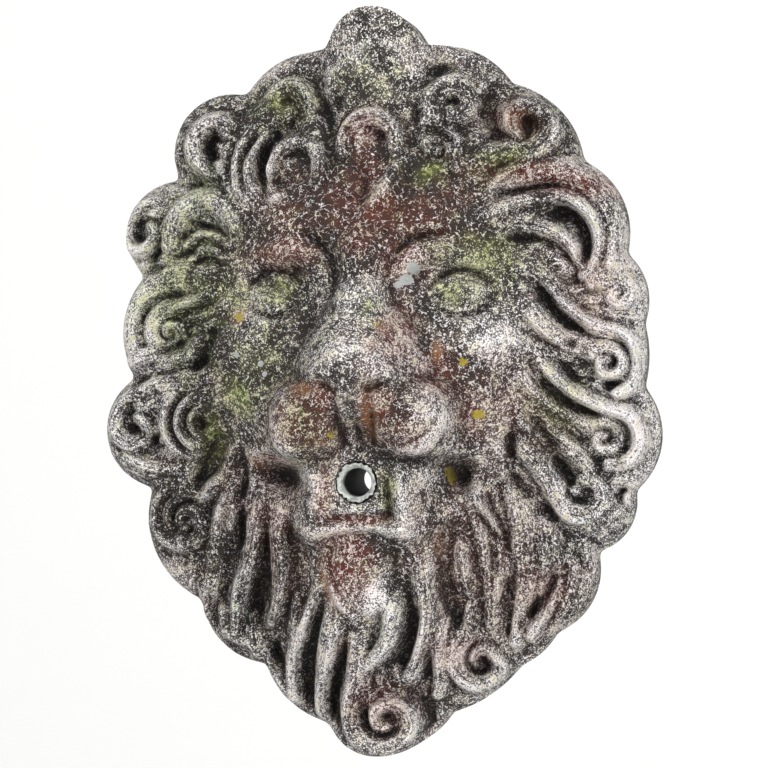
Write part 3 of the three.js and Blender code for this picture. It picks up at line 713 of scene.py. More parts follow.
@dataclass(frozen=True)
class Wave:
    """A lock that waves down to a point."""

    root: Pair
    point: Pair
    sway: Pair
    width: float
    lift: float
    tip: float
    strands: int = 0

    def lock(self) -> Lock:
        """The wave as a lock."""
        path = Path(swayed_path(self.root, self.point, self.sway))
        return Lock(path, self.width, self.lift, self.tip, self.strands or strands_in(self.width))


@dataclass(frozen=True)
class UnderHair:
    """The low hair that fills the ground between the locks, combed outwards and downwards.

    first and last are where the innermost and the outermost row stand, as shares of the way to the
    edge. bald lists the centre and the half axes of each place where no hair grows: the skull, the
    jaw and the shell. Chance moves a root by stray along its row and by stagger across it, and turns
    and bends a hair by lean and sway.
    """

    first: float = 0.42
    last: float = 0.82
    rows: int = 6
    mean_radius: float = 205
    spacing: float = 14
    fall: float = 0.55
    length: float = 36
    width: float = 6.5
    lift: float = 5.5
    tip: float = 3
    seed: int = 7
    stray: float = 0.3
    stagger: float = 0.03
    lean: float = 0.35
    sway: float = 5
    bald: tuple[tuple[Pair, Pair], ...] = (((0, 22), (94, 122)), ((0, -90), (60, 72)), ((0, 195), (48, 64)))

    def bare(self, place: Array) -> bool:
        """Whether no hair grows at a place."""
        return any(math.hypot((place[0] - a[0]) / b[0], (place[1] - a[1]) / b[1]) < 1 for a, b in self.bald)

    def locks(self, outline: Outline) -> list[Lock]:
        """The strands as small locks.

        Args:
            outline: the edge of the mask, which the rows follow.

        Returns:
            The locks.
        """
        chance = np.random.default_rng(self.seed)
        made = []
        for share in np.linspace(self.first, self.last, self.rows):
            count = int(2 * math.pi * share * self.mean_radius / self.spacing)
            for i in range(count):
                turn = 2 * math.pi * (i + chance.uniform(-self.stray, self.stray)) / count
                angle = math.remainder(turn, 2 * math.pi)
                edge = float(outline.radius(np.array([angle]))[0])
                reach = edge * (share + chance.uniform(-self.stagger, self.stagger))
                root = reach * np.array([math.cos(angle), math.sin(angle)])
                along = np.array([math.cos(angle), math.sin(angle) - self.fall])
                lean = chance.uniform(-self.lean, self.lean)
                along = along / math.hypot(*along) + lean * np.array([-along[1], along[0]])
                sway = chance.uniform(-self.sway, self.sway)
                if self.bare(root):
                    continue
                # from 0.8 to 1.2 of the length
                point = root + self.length * (0.8 + chance.uniform(0, 0.4)) * along
                pull = (sway, sway * 0.6)
                wave = Wave(tuple(root), tuple(point), pull, self.width, self.lift, self.tip, strands=2)
                made.append(wave.lock())
        return made


CURLS = (
    # crown, left
    Curl((-26, 160), (-61, 191), 14, -15, 320, 12, 13, tip=7, inner=0.4, bow=-4),
    Curl((-88, 166), (-111, 163), 16, 60, 215, 11, 15, tip=8, inner=1),
    Curl((-72, 112), (-50, 150), 42, 222, -95, 17, 14, tip=14, inner=1, strands=3),
    Curl((-31, 128), (-49, 148), 17, 0, 192, 8, 14, tip=7, inner=1, strands=1),
    Curl((-92, 96), (-118, 101), 24, -10, 200, 13, 14, tip=10, inner=1, strands=1),
    Curl((-138, 128), (-163, 104), 19, 60, 330, 10, 13, tip=6, inner=0.4),
    # left
    Curl((-102, 72), (-142, 36), 33, 85, 130, 12, 12, tip=8, inner=0.95),
    Curl((-98, 54), (-141, 34), 16, 90, 430, 13, 14),
    Curl((-104, -4), (-118, -27), 18, 120, 130, 16, 13, tip=13, inner=1, strands=3),
    Curl((-136, 2), (-169, -30), 17, 80, 400, 13, 13, tip=6, inner=0.25),
    Curl((-90, -54), (-131, -96), 23, 80, 450, 12, 14, inner=0.2, bow=8),
    # forelock
    Curl((25, 146), (1, 163), 18, 0, 205, 8, 13, tip=6, inner=1, bow=-2, strands=1),
    # crown, right
    Curl((28, 158), (56, 190), 14, 190, -300, 12, 13, tip=8, inner=0.5),
    Curl((74, 140), (46, 160), 12, -20, 300, 9, 12, tip=4),
    Curl((60, 146), (106, 176), 19, 255, 330, 13, 16, tip=7, inner=0.45, bow=-4),
    Curl((76, 128), (126, 98), 46, 100, -125, 14, 16, tip=11, inner=0.95, bow=8, strands=1),
    Curl((70, 112), (122, 94), 33, 88, -130, 9, 15, tip=6, inner=0.95, strands=1),
    # right
    Curl((150, 86), (167, 60), 11, 120, -380, 10, 12),
    Curl((118, 74), (160, 12), 23, 80, -150, 8, 15, tip=6, inner=0.9, bow=-6, strands=2),
    Curl((126, 44), (160, 13), 12, 100, -400, 8, 11, tip=4),
    Curl((112, 24), (163, -38), 20, 75, -170, 8, 15, tip=6, inner=0.9, bow=-7, strands=2),
    Curl((124, 0), (158, -38), 12, 100, -380, 8, 11, tip=4),
    Curl((98, -28), (145, -74), 18, 190, 330, 12, 14, tip=6, inner=0.3, bow=-4),
    Curl((160, -62), (174, -76), 9, 90, -250, 8, 11, tip=4),
    # beard
    Curl((80, -146), (75, -190), 19, 145, 430, 10, 14, inner=0.2, bow=-4),
    Curl((2, -154), (12, -229), 24, 165, 460, 12, 15, inner=0.15, bow=-4),
)

WAVES = (
    # left
    Wave((-98, 78), (-146, 76), (7, -5), 9, 12, 4),
    Wave((-98, 30), (-176, 12), (6, -8), 12, 13, 6),
    Wave((-102, 12), (-166, -8), (8, -6), 11, 13, 6),
    Wave((-112, -60), (-186, -50), (10, 6), 13, 12, 7),
    # lower left
    Wave((-90, -66), (-120, -160), (-8, 2), 13, 14, 6),
    Wave((-76, -80), (-96, -170), (5, -3), 13, 15, 6),
    Wave((-64, -86), (-69, -164), (3, 10), 12, 14, 6),
    Wave((-84, -160), (-60, -216), (-8, -4), 13, 13, 6),
    Wave((-106, -150), (-92, -180), (-4, -4), 10, 11, 7),
    # right
    Wave((92, 106), (150, 66), (17, 14), 11, 13, 5),
    Wave((98, 84), (134, 46), (8, 6), 11, 12, 5),
    Wave((108, 56), (150, 18), (-4, -4), 11, 12, 5),
    Wave((104, 16), (150, -30), (-6, -4), 11, 12, 5),
    Wave((102, -14), (150, -62), (-4, 5), 12, 13, 6),
    # lower right
    Wave((136, -98), (122, -170), (12, 12), 13, 13, 6),
    Wave((116, -80), (108, -172), (10, 12), 13, 14, 6),
    Wave((96, -56), (98, -176), (10, 8), 13, 14, 6),
    Wave((76, -62), (82, -164), (4, 4), 13, 14, 6),
    # beard
    Wave((54, -150), (44, -212), (-6, 4), 11, 13, 6),
    Wave((40, -112), (28, -200), (8, 10), 12, 14, 7),
    Wave((22, -136), (-6, -196), (9, 11), 9, 14, 6),
    Wave((-37, -134), (-55, -217), (1, -9), 13, 14, 6),
    Wave((-20, -152), (-36, -230), (3, -6), 12, 14, 7),
)

# Single strands that catch the light, and the deep clefts and holes between locks.
STRANDS: tuple[Feature, ...] = (
    # crown, left
    Coil((-61, 191), 18, -20, 270, 4.5, 4, inner=0.85),
    Ridge((-33, 192), (-26, 166), (0, 0), 3, -7),
    Swell((-50, 183), (5, 7), -8),
    Coil((-111, 164), 16, 50, 200, 4.5, 5),
    Ridge((-111, 174), (-109, 143), (-5, -5), 3, -9),
    Ridge((-103, 172), (-94, 125), (-6, -6), 3.4, 4),
    Ridge((-96, 166), (-98, 136), (-3, -3), 2.4, -7),
    Ridge((-87, 169), (-88, 128), (-8, -8), 3.4, 4),
    Ridge((-80, 169), (-85, 129), (-8, -8), 2.4, -8),
    Ridge((-71, 170), (-78, 129), (-10, -10), 3.2, 5),
    Ridge((-66, 150), (-65, 128), (-2, -2), 5, 10),
    Coil((-49, 148), 20, -10, 200, 4, 3),
    Coil((-49, 148), 21.5, 100, 100, 1.6, -4),
    Swell((-50, 146), (9, 10), 4),
    Coil((-50, 150), 26, 128, 100, 3.6, -10),
    Coil((-118, 103), 26, 0, 170, 6, 3),
    Coil((-116, 86), 22, 35, 115, 2.4, -6),
    Coil((-116, 83), 20, 30, 120, 2.6, 4),
    Coil((-115, 81), 16, 30, 120, 2.2, -6),
    Coil((-114, 77), 15, 25, 125, 2.6, 4),
    Coil((-113, 74), 12, 25, 125, 2.2, -6),
    Coil((-167, 101), 9, 180, 180, 3.5, 6),
    Swell((-167, 101), (5, 4.5), -11),
    Ridge((-153, 124), (-148, 92), (-3, -3), 5, 5),
    Ridge((-150, 102), (-158, 80), (0, 0), 4, -9),
    Ridge((-171, 107), (-149, 125), (4, 4), 3.5, -7),
    # crown, middle
    Coil((1, 163), 21.5, 10, 170, 2.4, 4),
    Coil((1, 163), 17, 20, 170, 1.6, -4),
    Ridge((-3, 177), (-7, 158), (-2, -2), 3.6, 6),
    Swell((0, 163), (13, 12), 5),
    Swell((8, 167), (5, 4), -6),
    Ridge((30, 184), (29, 160), (2, 2), 2.6, -5),
    # crown, right
    Coil((57, 191), 19, 195, -160, 4.5, 6),
    Ridge((38, 211), (56, 219), (0, 0), 4, -6),
    Swell((75, 217), (5, 5), -5),
    Ridge((36, 171), (58, 161), (3, 3), 4, -10),
    Ridge((50, 172), (64, 160), (2, 2), 3, 5),
    Swell((46, 156), (4, 3), -5),
    Swell((55, 152), (4, 4), -7),
    Ridge((80, 196), (90, 162), (-5, -5), 5, -13),
    Ridge((86, 192), (87, 169), (5, 5), 5, 8),
    Ridge((104, 182), (104, 168), (0, 0), 2.6, -10),
    Swell((118, 177), (4, 6), -5),
    Ridge((127, 180), (120, 155), (3, 3), 5, 4),
    Ridge((81, 127), (116, 155), (4, 3), 3.6, 8),
    Ridge((88, 123), (128, 134), (3, 3), 3, -6),
    Ridge((75, 111), (128, 126), (-4, -3), 6, 6),
    Coil((122, 94), 35, 85, -112, 5.5, 8),
    Coil((122, 94), 24.5, 80, -112, 4.6, -13),
    Coil((118, 82), 22, 108, -112, 3.5, 6),
    Coil((114, 70), 20, 108, -105, 3.2, 6),
    Coil((116, 76), 21, 100, -95, 2, -4),
    Ridge((97, 98), (114, 99), (0, 0), 3.5, -8),
    Ridge((165, 98), (162, 76), (0, 0), 4, 4),
    Swell((178, 74), (4, 5), -6),
    # right
    Coil((160, 12), 23, 85, -125, 4.5, 6),
    Ridge((120, 70), (162, 35), (-6, -4), 4, 5),
    Ridge((115, 67), (145, 35), (-4, -4), 4.6, -14),
    Swell((137, 27), (4, 3.5), -9),
    Ridge((157, 34), (174, 22), (3, 3), 3, -8),
    Ridge((150, 21), (153, -2), (5, 5), 3.5, 7),
    Swell((164, 14), (4.5, 4.5), -8),
    Swell((161, -2), (4, 3), -7),
    Ridge((115, 20), (166, -20), (-7, -5), 4.4, 7),
    Coil((163, -38), 19, 80, -100, 4.5, 6),
    Ridge((118, -1), (154, -22), (-3, -3), 3.6, -10),
    Ridge((111, 14), (123, -4), (-2, -2), 3, -6),
    Ridge((130, 13), (140, 0), (0, 0), 3, -8),
    Swell((164, -35), (9, 9), -9),
    Swell((186, -27), (4, 4), -4),
    Swell((167, -55), (4, 5), -8),
    Ridge((128, -36), (150, -50), (0, 0), 5, 4),
    Ridge((112, -20), (128, -45), (-2, -2), 4, -12),
    Ridge((103, -34), (130, -72), (-4, -2), 7, 6),
    Ridge((98, -32), (97, -51), (0, 0), 3.5, -12),
    Ridge((127, -52), (141, -71), (-1, -1), 4, -12),
    Ridge((98, -60), (109, -79), (-2, 0), 4, -10),
    Ridge((118, -82), (127, -95), (0, 0), 4, -9),
    Coil((147, -76), 21, 205, 150, 6, 9),
    Ridge((170, -66), (168, -84), (0, 0), 3, -8),
    Ridge((181, -56), (174, -86), (2, 2), 4, 5),
    Swell((164, -92), (4, 3), -6),
    # lower right
    Ridge((70, -58), (79, -82), (0, 0), 3.5, 5),
    Ridge((72, -85), (89, -107), (0, 0), 3, -10),
    Ridge((81, -75), (94, -106), (-1, -1), 2.8, -10),
    Ridge((77, -80), (91, -104), (0, 0), 2.6, 4),
    Ridge((90, -92), (98, -114), (1, 1), 3.5, 4),
    Ridge((59, -95), (62, -164), (-6, -8), 5, -17),
    Ridge((60, -104), (66, -160), (5, 6), 5, 7),
    Ridge((98, -110), (86, -146), (-1, -1), 4, 6),
    Ridge((84, -111), (86, -129), (0, 0), 3, -7),
    Ridge((119, -107), (110, -144), (2, 0), 5.5, 7),
    Ridge((125, -127), (106, -159), (3, 3), 4, -12),
    Ridge((132, -139), (110, -169), (1, 1), 5, 8),
    Ridge((136, -112), (147, -131), (1, 1), 4, -10),
    Ridge((151, -117), (140, -161), (5, 5), 4.5, 5),
    Swell((101, -165), (4, 6), -8),
    Coil((74, -190), 19, 165, 175, 5, 7),
    Ridge((62, -174), (97, -185), (9, 8), 4, 5),
    Coil((82, -196), 9, 115, -175, 3.5, 8),
    Swell((73, -191), (5.5, 6), -11),
    Swell((103, -186), (4, 4), -7),
    # beard
    Coil((15, -231), 17, 80, -135, 5, 9),
    Swell((10, -232), (6, 6), -8),
    Coil((13, -230), 25, 40, -75, 3, -9),
    Coil((13, -230), 33, 25, -75, 4, 4),
    Ridge((-3, -206), (-3, -234), (-2, -2), 4, -10),
    Ridge((22, -142), (-5, -194), (9.6, 11), 4.5, 8),
    Ridge((40, -132), (32, -181), (6, 6), 3.6, 6),
    Ridge((36, -151), (20, -191), (3, 4), 3.6, -10),
    Ridge((40, -180), (37, -199), (0, 0), 4, -9),
    Ridge((50, -171), (47, -199), (0, 0), 3.6, 6),
    Ridge((15, -203), (33, -196), (0, 0), 5, 4),
    Ridge((-39, -152), (-56, -216), (0, -8), 4.2, 7),
    Ridge((-43, -176), (-54, -202), (0, 0), 2.6, -6),
    Ridge((-71, -187), (-56, -220), (-4, -4), 4, 6),
    Ridge((-70, -181), (-69, -201), (0, 0), 3.6, -10),
    Ridge((-22, -168), (-37, -226), (3, -5), 3.9, 7),
    Ridge((-7, -196), (-11, -240), (-8, -8), 4.5, 7),
    Ridge((-30, -146), (-47, -222), (0, -5), 3.8, -12),
    Ridge((-14, -178), (-24, -234), (-4, -7), 3.6, -10),
    # lower left
    Coil((-137, -91), 22, 95, 178, 5, 7),
    Coil((-137, -91), 14, 100, 150, 3.6, -8),
    Ridge((-120, -95), (-132, -114), (-8, -7), 3.6, 8),
    Ridge((-98, -59), (-120, -83), (0, 0), 4.5, 7),
    Ridge((-92, -70), (-104, -112), (-6, -6), 4, 8),
    Ridge((-86, -77), (-99, -110), (-3, -3), 3, 5),
    Ridge((-98, -82), (-102, -107), (-1, -1), 1.8, -5),
    Ridge((-88, -49), (-90, -79), (3, 3), 3.6, -10),
    Ridge((-92, -83), (-90, -112), (1, 1), 3.6, -7),
    Ridge((-77, -77), (-79, -93), (0, 0), 3, 6),
    Ridge((-72, -95), (-84, -129), (-1, -1), 4, 5),
    Ridge((-71, -123), (-93, -162), (-11, -10), 6, 9),
    Ridge((-83, -136), (-86, -160), (-1, -1), 3, 4),
    Ridge((-75, -128), (-80, -160), (-4, -3), 4, -9),
    Ridge((-54, -113), (-69, -160), (4, 5), 4, 8),
    Ridge((-51, -99), (-46, -158), (6, 7), 5.5, -17),
    Ridge((-71, -91), (-78, -154), (5, 4.6), 4.4, -10),
    Ridge((-117, -147), (-115, -169), (0, 0), 5.5, -13),
    Ridge((-121, -136), (-123, -151), (0, 0), 4, 6),
    Ridge((-117, -173), (-84, -185), (3, 4), 4, 6),
    Ridge((-108, -180), (-88, -184), (1, 1), 2.2, -6),
    # left
    Ridge((-105, 65), (-144, 48), (-1, 1), 4, 8),
    Ridge((-107, 54), (-140, 45), (0, 0), 3.4, -7),
    Ridge((-128, 42), (-152, 40), (0, 0), 3.5, 5),
    Ridge((-160, 67), (-168, 27), (-7, -6), 7, 5),
    Ridge((-106, 37), (-123, 7), (2, 2), 4.6, -13),
    Ridge((-129, 30), (-151, 22), (2, 2), 4.2, -12),
    Ridge((-116, 31), (-128, 14), (0, 0), 3.6, 5),
    Ridge((-125, 15), (-150, 11), (0, 0), 3.6, 5),
    Ridge((-156, 5), (-141, -9), (0, 0), 5, 6),
    Coil((-118, -27), 28, 120, 118, 5, 8),
    Coil((-118, -27), 22, 118, 118, 2.6, -8),
    Coil((-118, -27), 17, 112, 135, 3, 6),
    Coil((-118, -27), 12.5, 112, 130, 2.3, -6),
    Coil((-118, -27), 8, 110, 145, 2.6, 4),
    Swell((-119, -27), (3.5, 5), -8),
    Ridge((-170, -13), (-170, -31), (-2, -2), 4, -9),
    Ridge((-170, -31), (-152, -41), (-1, 0), 4, -9),
    Swell((-162, -22), (5, 6), 4),
    Ridge((-185, -29), (-151, -63), (-5, -4), 6, 6),
    Ridge((-105, -33), (-124, -74), (3, 0), 6, -16),
    Ridge((-96, 14), (-104, -20), (-2, -2), 4, 4),
)


# The whole relief


@dataclass(frozen=True)
class Dome:
    """A broad swelling that the features are modelled on."""

    centre: Pair
    half: Pair
    foot: float
    rise: float = 50
    roundness: float = 2.3

    def height(self, x: Array, z: Array) -> Array:
        """The dome's height, which goes on falling outside its half axes."""
        reach = np.hypot((x - self.centre[0]) / self.half[0], (z - self.centre[1]) / self.half[1])
        return self.foot + self.rise * np.clip(1 - reach**self.roundness, -1, 1)


@dataclass
class Relief:
    """The height of the mask over the wall at every place."""

    rim_height: float = 16
    rim_roll: float = 12
    roll_width: float = 16
    mane_rise: float = 28
    mane_fullness: float = 2.6
    skull: Dome = Dome((0, 26), (122, 150), 52)
    skull_blend: float = 16
    jaw: Dome = Dome((0, -92), (84, 118), 46)
    jaw_blend: float = 14
    lock_fade: float = 7
    cleft_floor: float = 5.5
    outline: Outline = field(default_factory=Outline)
    features: list[Feature] = field(default_factory=face_features)
    locks: list[Lock] = field(init=False)

    def __post_init__(self) -> None:
        """Gathers the locks, the lowest first."""
        self.locks = UnderHair().locks(self.outline) + [piece.lock() for piece in CURLS + WAVES]

    def inside(self, x: Array, z: Array) -> Array:
        """How far inside the outline each place lies, measured towards the middle."""
        return self.outline.radius(np.arctan2(z, x)) - np.hypot(x, z)

    def ground(self, x: Array, z: Array) -> Array:
        """The mane's plate, the skull and the jaw.

        Args:
            x: places across.
            z: places upwards.

        Returns:
            The height that the face and the locks are raised on.
        """
        inside, reach = self.inside(x, z), np.hypot(x, z)
        inset = np.clip(inside / self.roll_width, 0, 1)
        out = np.clip(reach / (reach + np.maximum(inside, 0) + 1e-9), 0, 1)
        roll = self.rim_roll * np.sqrt(1 - (1 - inset) ** 2)
        plate = self.rim_height + roll + self.mane_rise * (1 - out**self.mane_fullness)
        head = soft_max(plate, self.skull.height(x, z), self.skull_blend)
        return soft_max(head, self.jaw.height(x, z), self.jaw_blend)

    def height(self, x: Array, z: Array) -> Array:
        """The mask's height over the wall.

        Args:
            x: places across.
            z: places upwards.

        Returns:
            The height at each place.
        """
        h = self.ground(x, z)
        for feature in self.features:
            h = feature.add(h, x, z)
        fade = np.sqrt(np.clip(self.inside(x, z) / self.lock_fade, 0, 1))
        hair = np.zeros_like(x)
        for lock in self.locks:
            hair = np.maximum(hair, lock.height(x, z))
        carved = hair
        for strand in STRANDS:
            carved = strand.add(carved, x, z)
        return h + np.maximum(carved, -self.cleft_floor) * fade

    def combed(self, x: Array, z: Array) -> tuple[Array, Array]:
        """The single hairs of the topmost lock at each place.

        Args:
            x: places across.
            z: places upwards.

        Returns:
            How far each place lies beside the lock's middle line, and how clearly the hairs show.
        """
        top, beside, clear = np.zeros_like(x), np.zeros_like(x), np.zeros_like(x)
        for lock in self.locks:
            out, aside, shown = lock.comb(x, z)
            over = out > top
            top[over], beside[over], clear[over] = out[over], aside[over], shown[over]
        return beside, clear


# Meshes


def placed(name: str, data: bpy.types.ID) -> bpy.types.Object:
    """A new object in the scene that shows the data."""
    made = bpy.data.objects.new(name, data)
    bpy.context.scene.collection.objects.link(made)
    return made


def mesh_object(name: str, points: Array, faces: list[tuple[int, ...]]) -> bpy.types.Object:
    """A new object in the scene.

    Args:
        name: its name.
        points: its vertices in millimetres, one a row.
        faces: its faces, as vertex numbers that turn left seen from outside.

    Returns:
        The object.
    """
    mesh = bpy.data.meshes.new(name)
    mesh.from_pydata((points * MM).tolist(), [], faces)
    mesh.update()
    return placed(name, mesh)


def turned_mesh(profile: list[Pair], sides: int, at: Pair) -> tuple[Array, list[tuple[int, ...]]]:
    """A closed turned body whose axis stands out of the wall.

    Args:
        profile: radius and height over the wall of each ring. The last ring runs on into the first.
        sides: number of sides.
        at: place of the axis on the wall.

    Returns:
        The points and the faces.
    """
    angle = 2 * np.pi * np.arange(sides) / sides
    across, up = np.cos(angle), np.sin(angle)
    rings = [np.stack([at[0] + r * across, np.full(sides, -h), at[1] + r * up], 1) for r, h in profile]
    count = len(profile)
    faces = []
    for i in range(count):
        j = (i + 1) % count
        for k in range(sides):
            m = (k + 1) % sides
            faces.append((i * sides + k, i * sides + m, j * sides + m, j * sides + k))
    return np.concatenate(rings), faces


def rework(mesh: bpy.types.Mesh, change: Callable[[bmesh.types.BMesh], object]) -> None:
    """Changes a mesh in place by an operation on its faces."""
    work = bmesh.new()
    work.from_mesh(mesh)
    change(work)
    work.to_mesh(mesh)
    work.free()


def face_outwards(mesh: bpy.types.Mesh) -> None:
    """Turns all faces of a closed mesh outwards."""
    rework(mesh, lambda work: bmesh.ops.recalc_face_normals(work, faces=work.faces))


def shade_smooth(mesh: bpy.types.Mesh, sharp_from: float = 50) -> None:
    """Shades a mesh smooth, but for edges that bend more than sharp_from degrees."""
    mesh.polygons.foreach_set("use_smooth", np.ones(len(mesh.polygons), bool))
    mesh.set_sharp_from_angle(angle=math.radians(sharp_from))


def store(mesh: bpy.types.Mesh, name: str, values: Array) -> None:
    """Keeps one number a vertex on a mesh, for its finish to read."""
    layer = mesh.attributes.new(name, "FLOAT", "POINT")
    layer.data.foreach_set("value", values.astype(np.float32))


@dataclass(frozen=True)
class GrainNoise:
    """Smooth seeded noise over the wall plane, with a new value every size millimetres."""

    seed: int
    size: float
    cells: int = 256

    def at(self, x: Array, z: Array) -> Array:
        """The noise, about -1 to 1.

        Args:
            x: places across.
            z: places upwards.

        Returns:
            The noise at each place.
        """
        values = np.random.default_rng(self.seed).uniform(-1, 1, (self.cells, self.cells))
        # moved aside, so that no place lies below zero
        u, v = x / self.size + 1000, z / self.size + 1000
        i, j = np.floor(u).astype(int), np.floor(v).astype(int)
        fu, fv = u - i, v - j
        fu, fv = fu * fu * (3 - 2 * fu), fv * fv * (3 - 2 * fv)
        i, j, right, over = i % self.cells, j % self.cells, (i + 1) % self.cells, (j + 1) % self.cells
        a, b, c, d = values[i, j], values[right, j], values[i, over], values[right, over]
        return (a * (1 - fu) + b * fu) * (1 - fv) + (c * (1 - fu) + d * fu) * fv


@dataclass(frozen=True)
class Erosion:
    """How rain and frost have worn the casting: shallow wasting and small pits."""

    waste: float = 0.55
    pits: float = 0.5
    pit_from: float = 0.45
    broad: GrainNoise = GrainNoise(3, 17)
    middle: GrainNoise = GrainNoise(5, 7.3)
    fine: GrainNoise = GrainNoise(11, 3.1)
    pitting: GrainNoise = GrainNoise(17, 4.7)

    def at(self, x: Array, z: Array) -> Array:
        """Height lost or gained at each place."""
        broad = self.broad.at(x, z) + 0.7 * self.middle.at(x, z)
        pit = np.clip(self.pitting.at(x, z) - self.pit_from, 0, 1) * 2
        return self.waste * (0.6 * broad + 0.5 * self.fine.at(x, z)) - self.pits * pit


@dataclass(frozen=True)
class Patch:
    """A soft edged patch of weathering."""

    at: Pair
    size: Pair
    strength: float = 1
    turn: float = 0


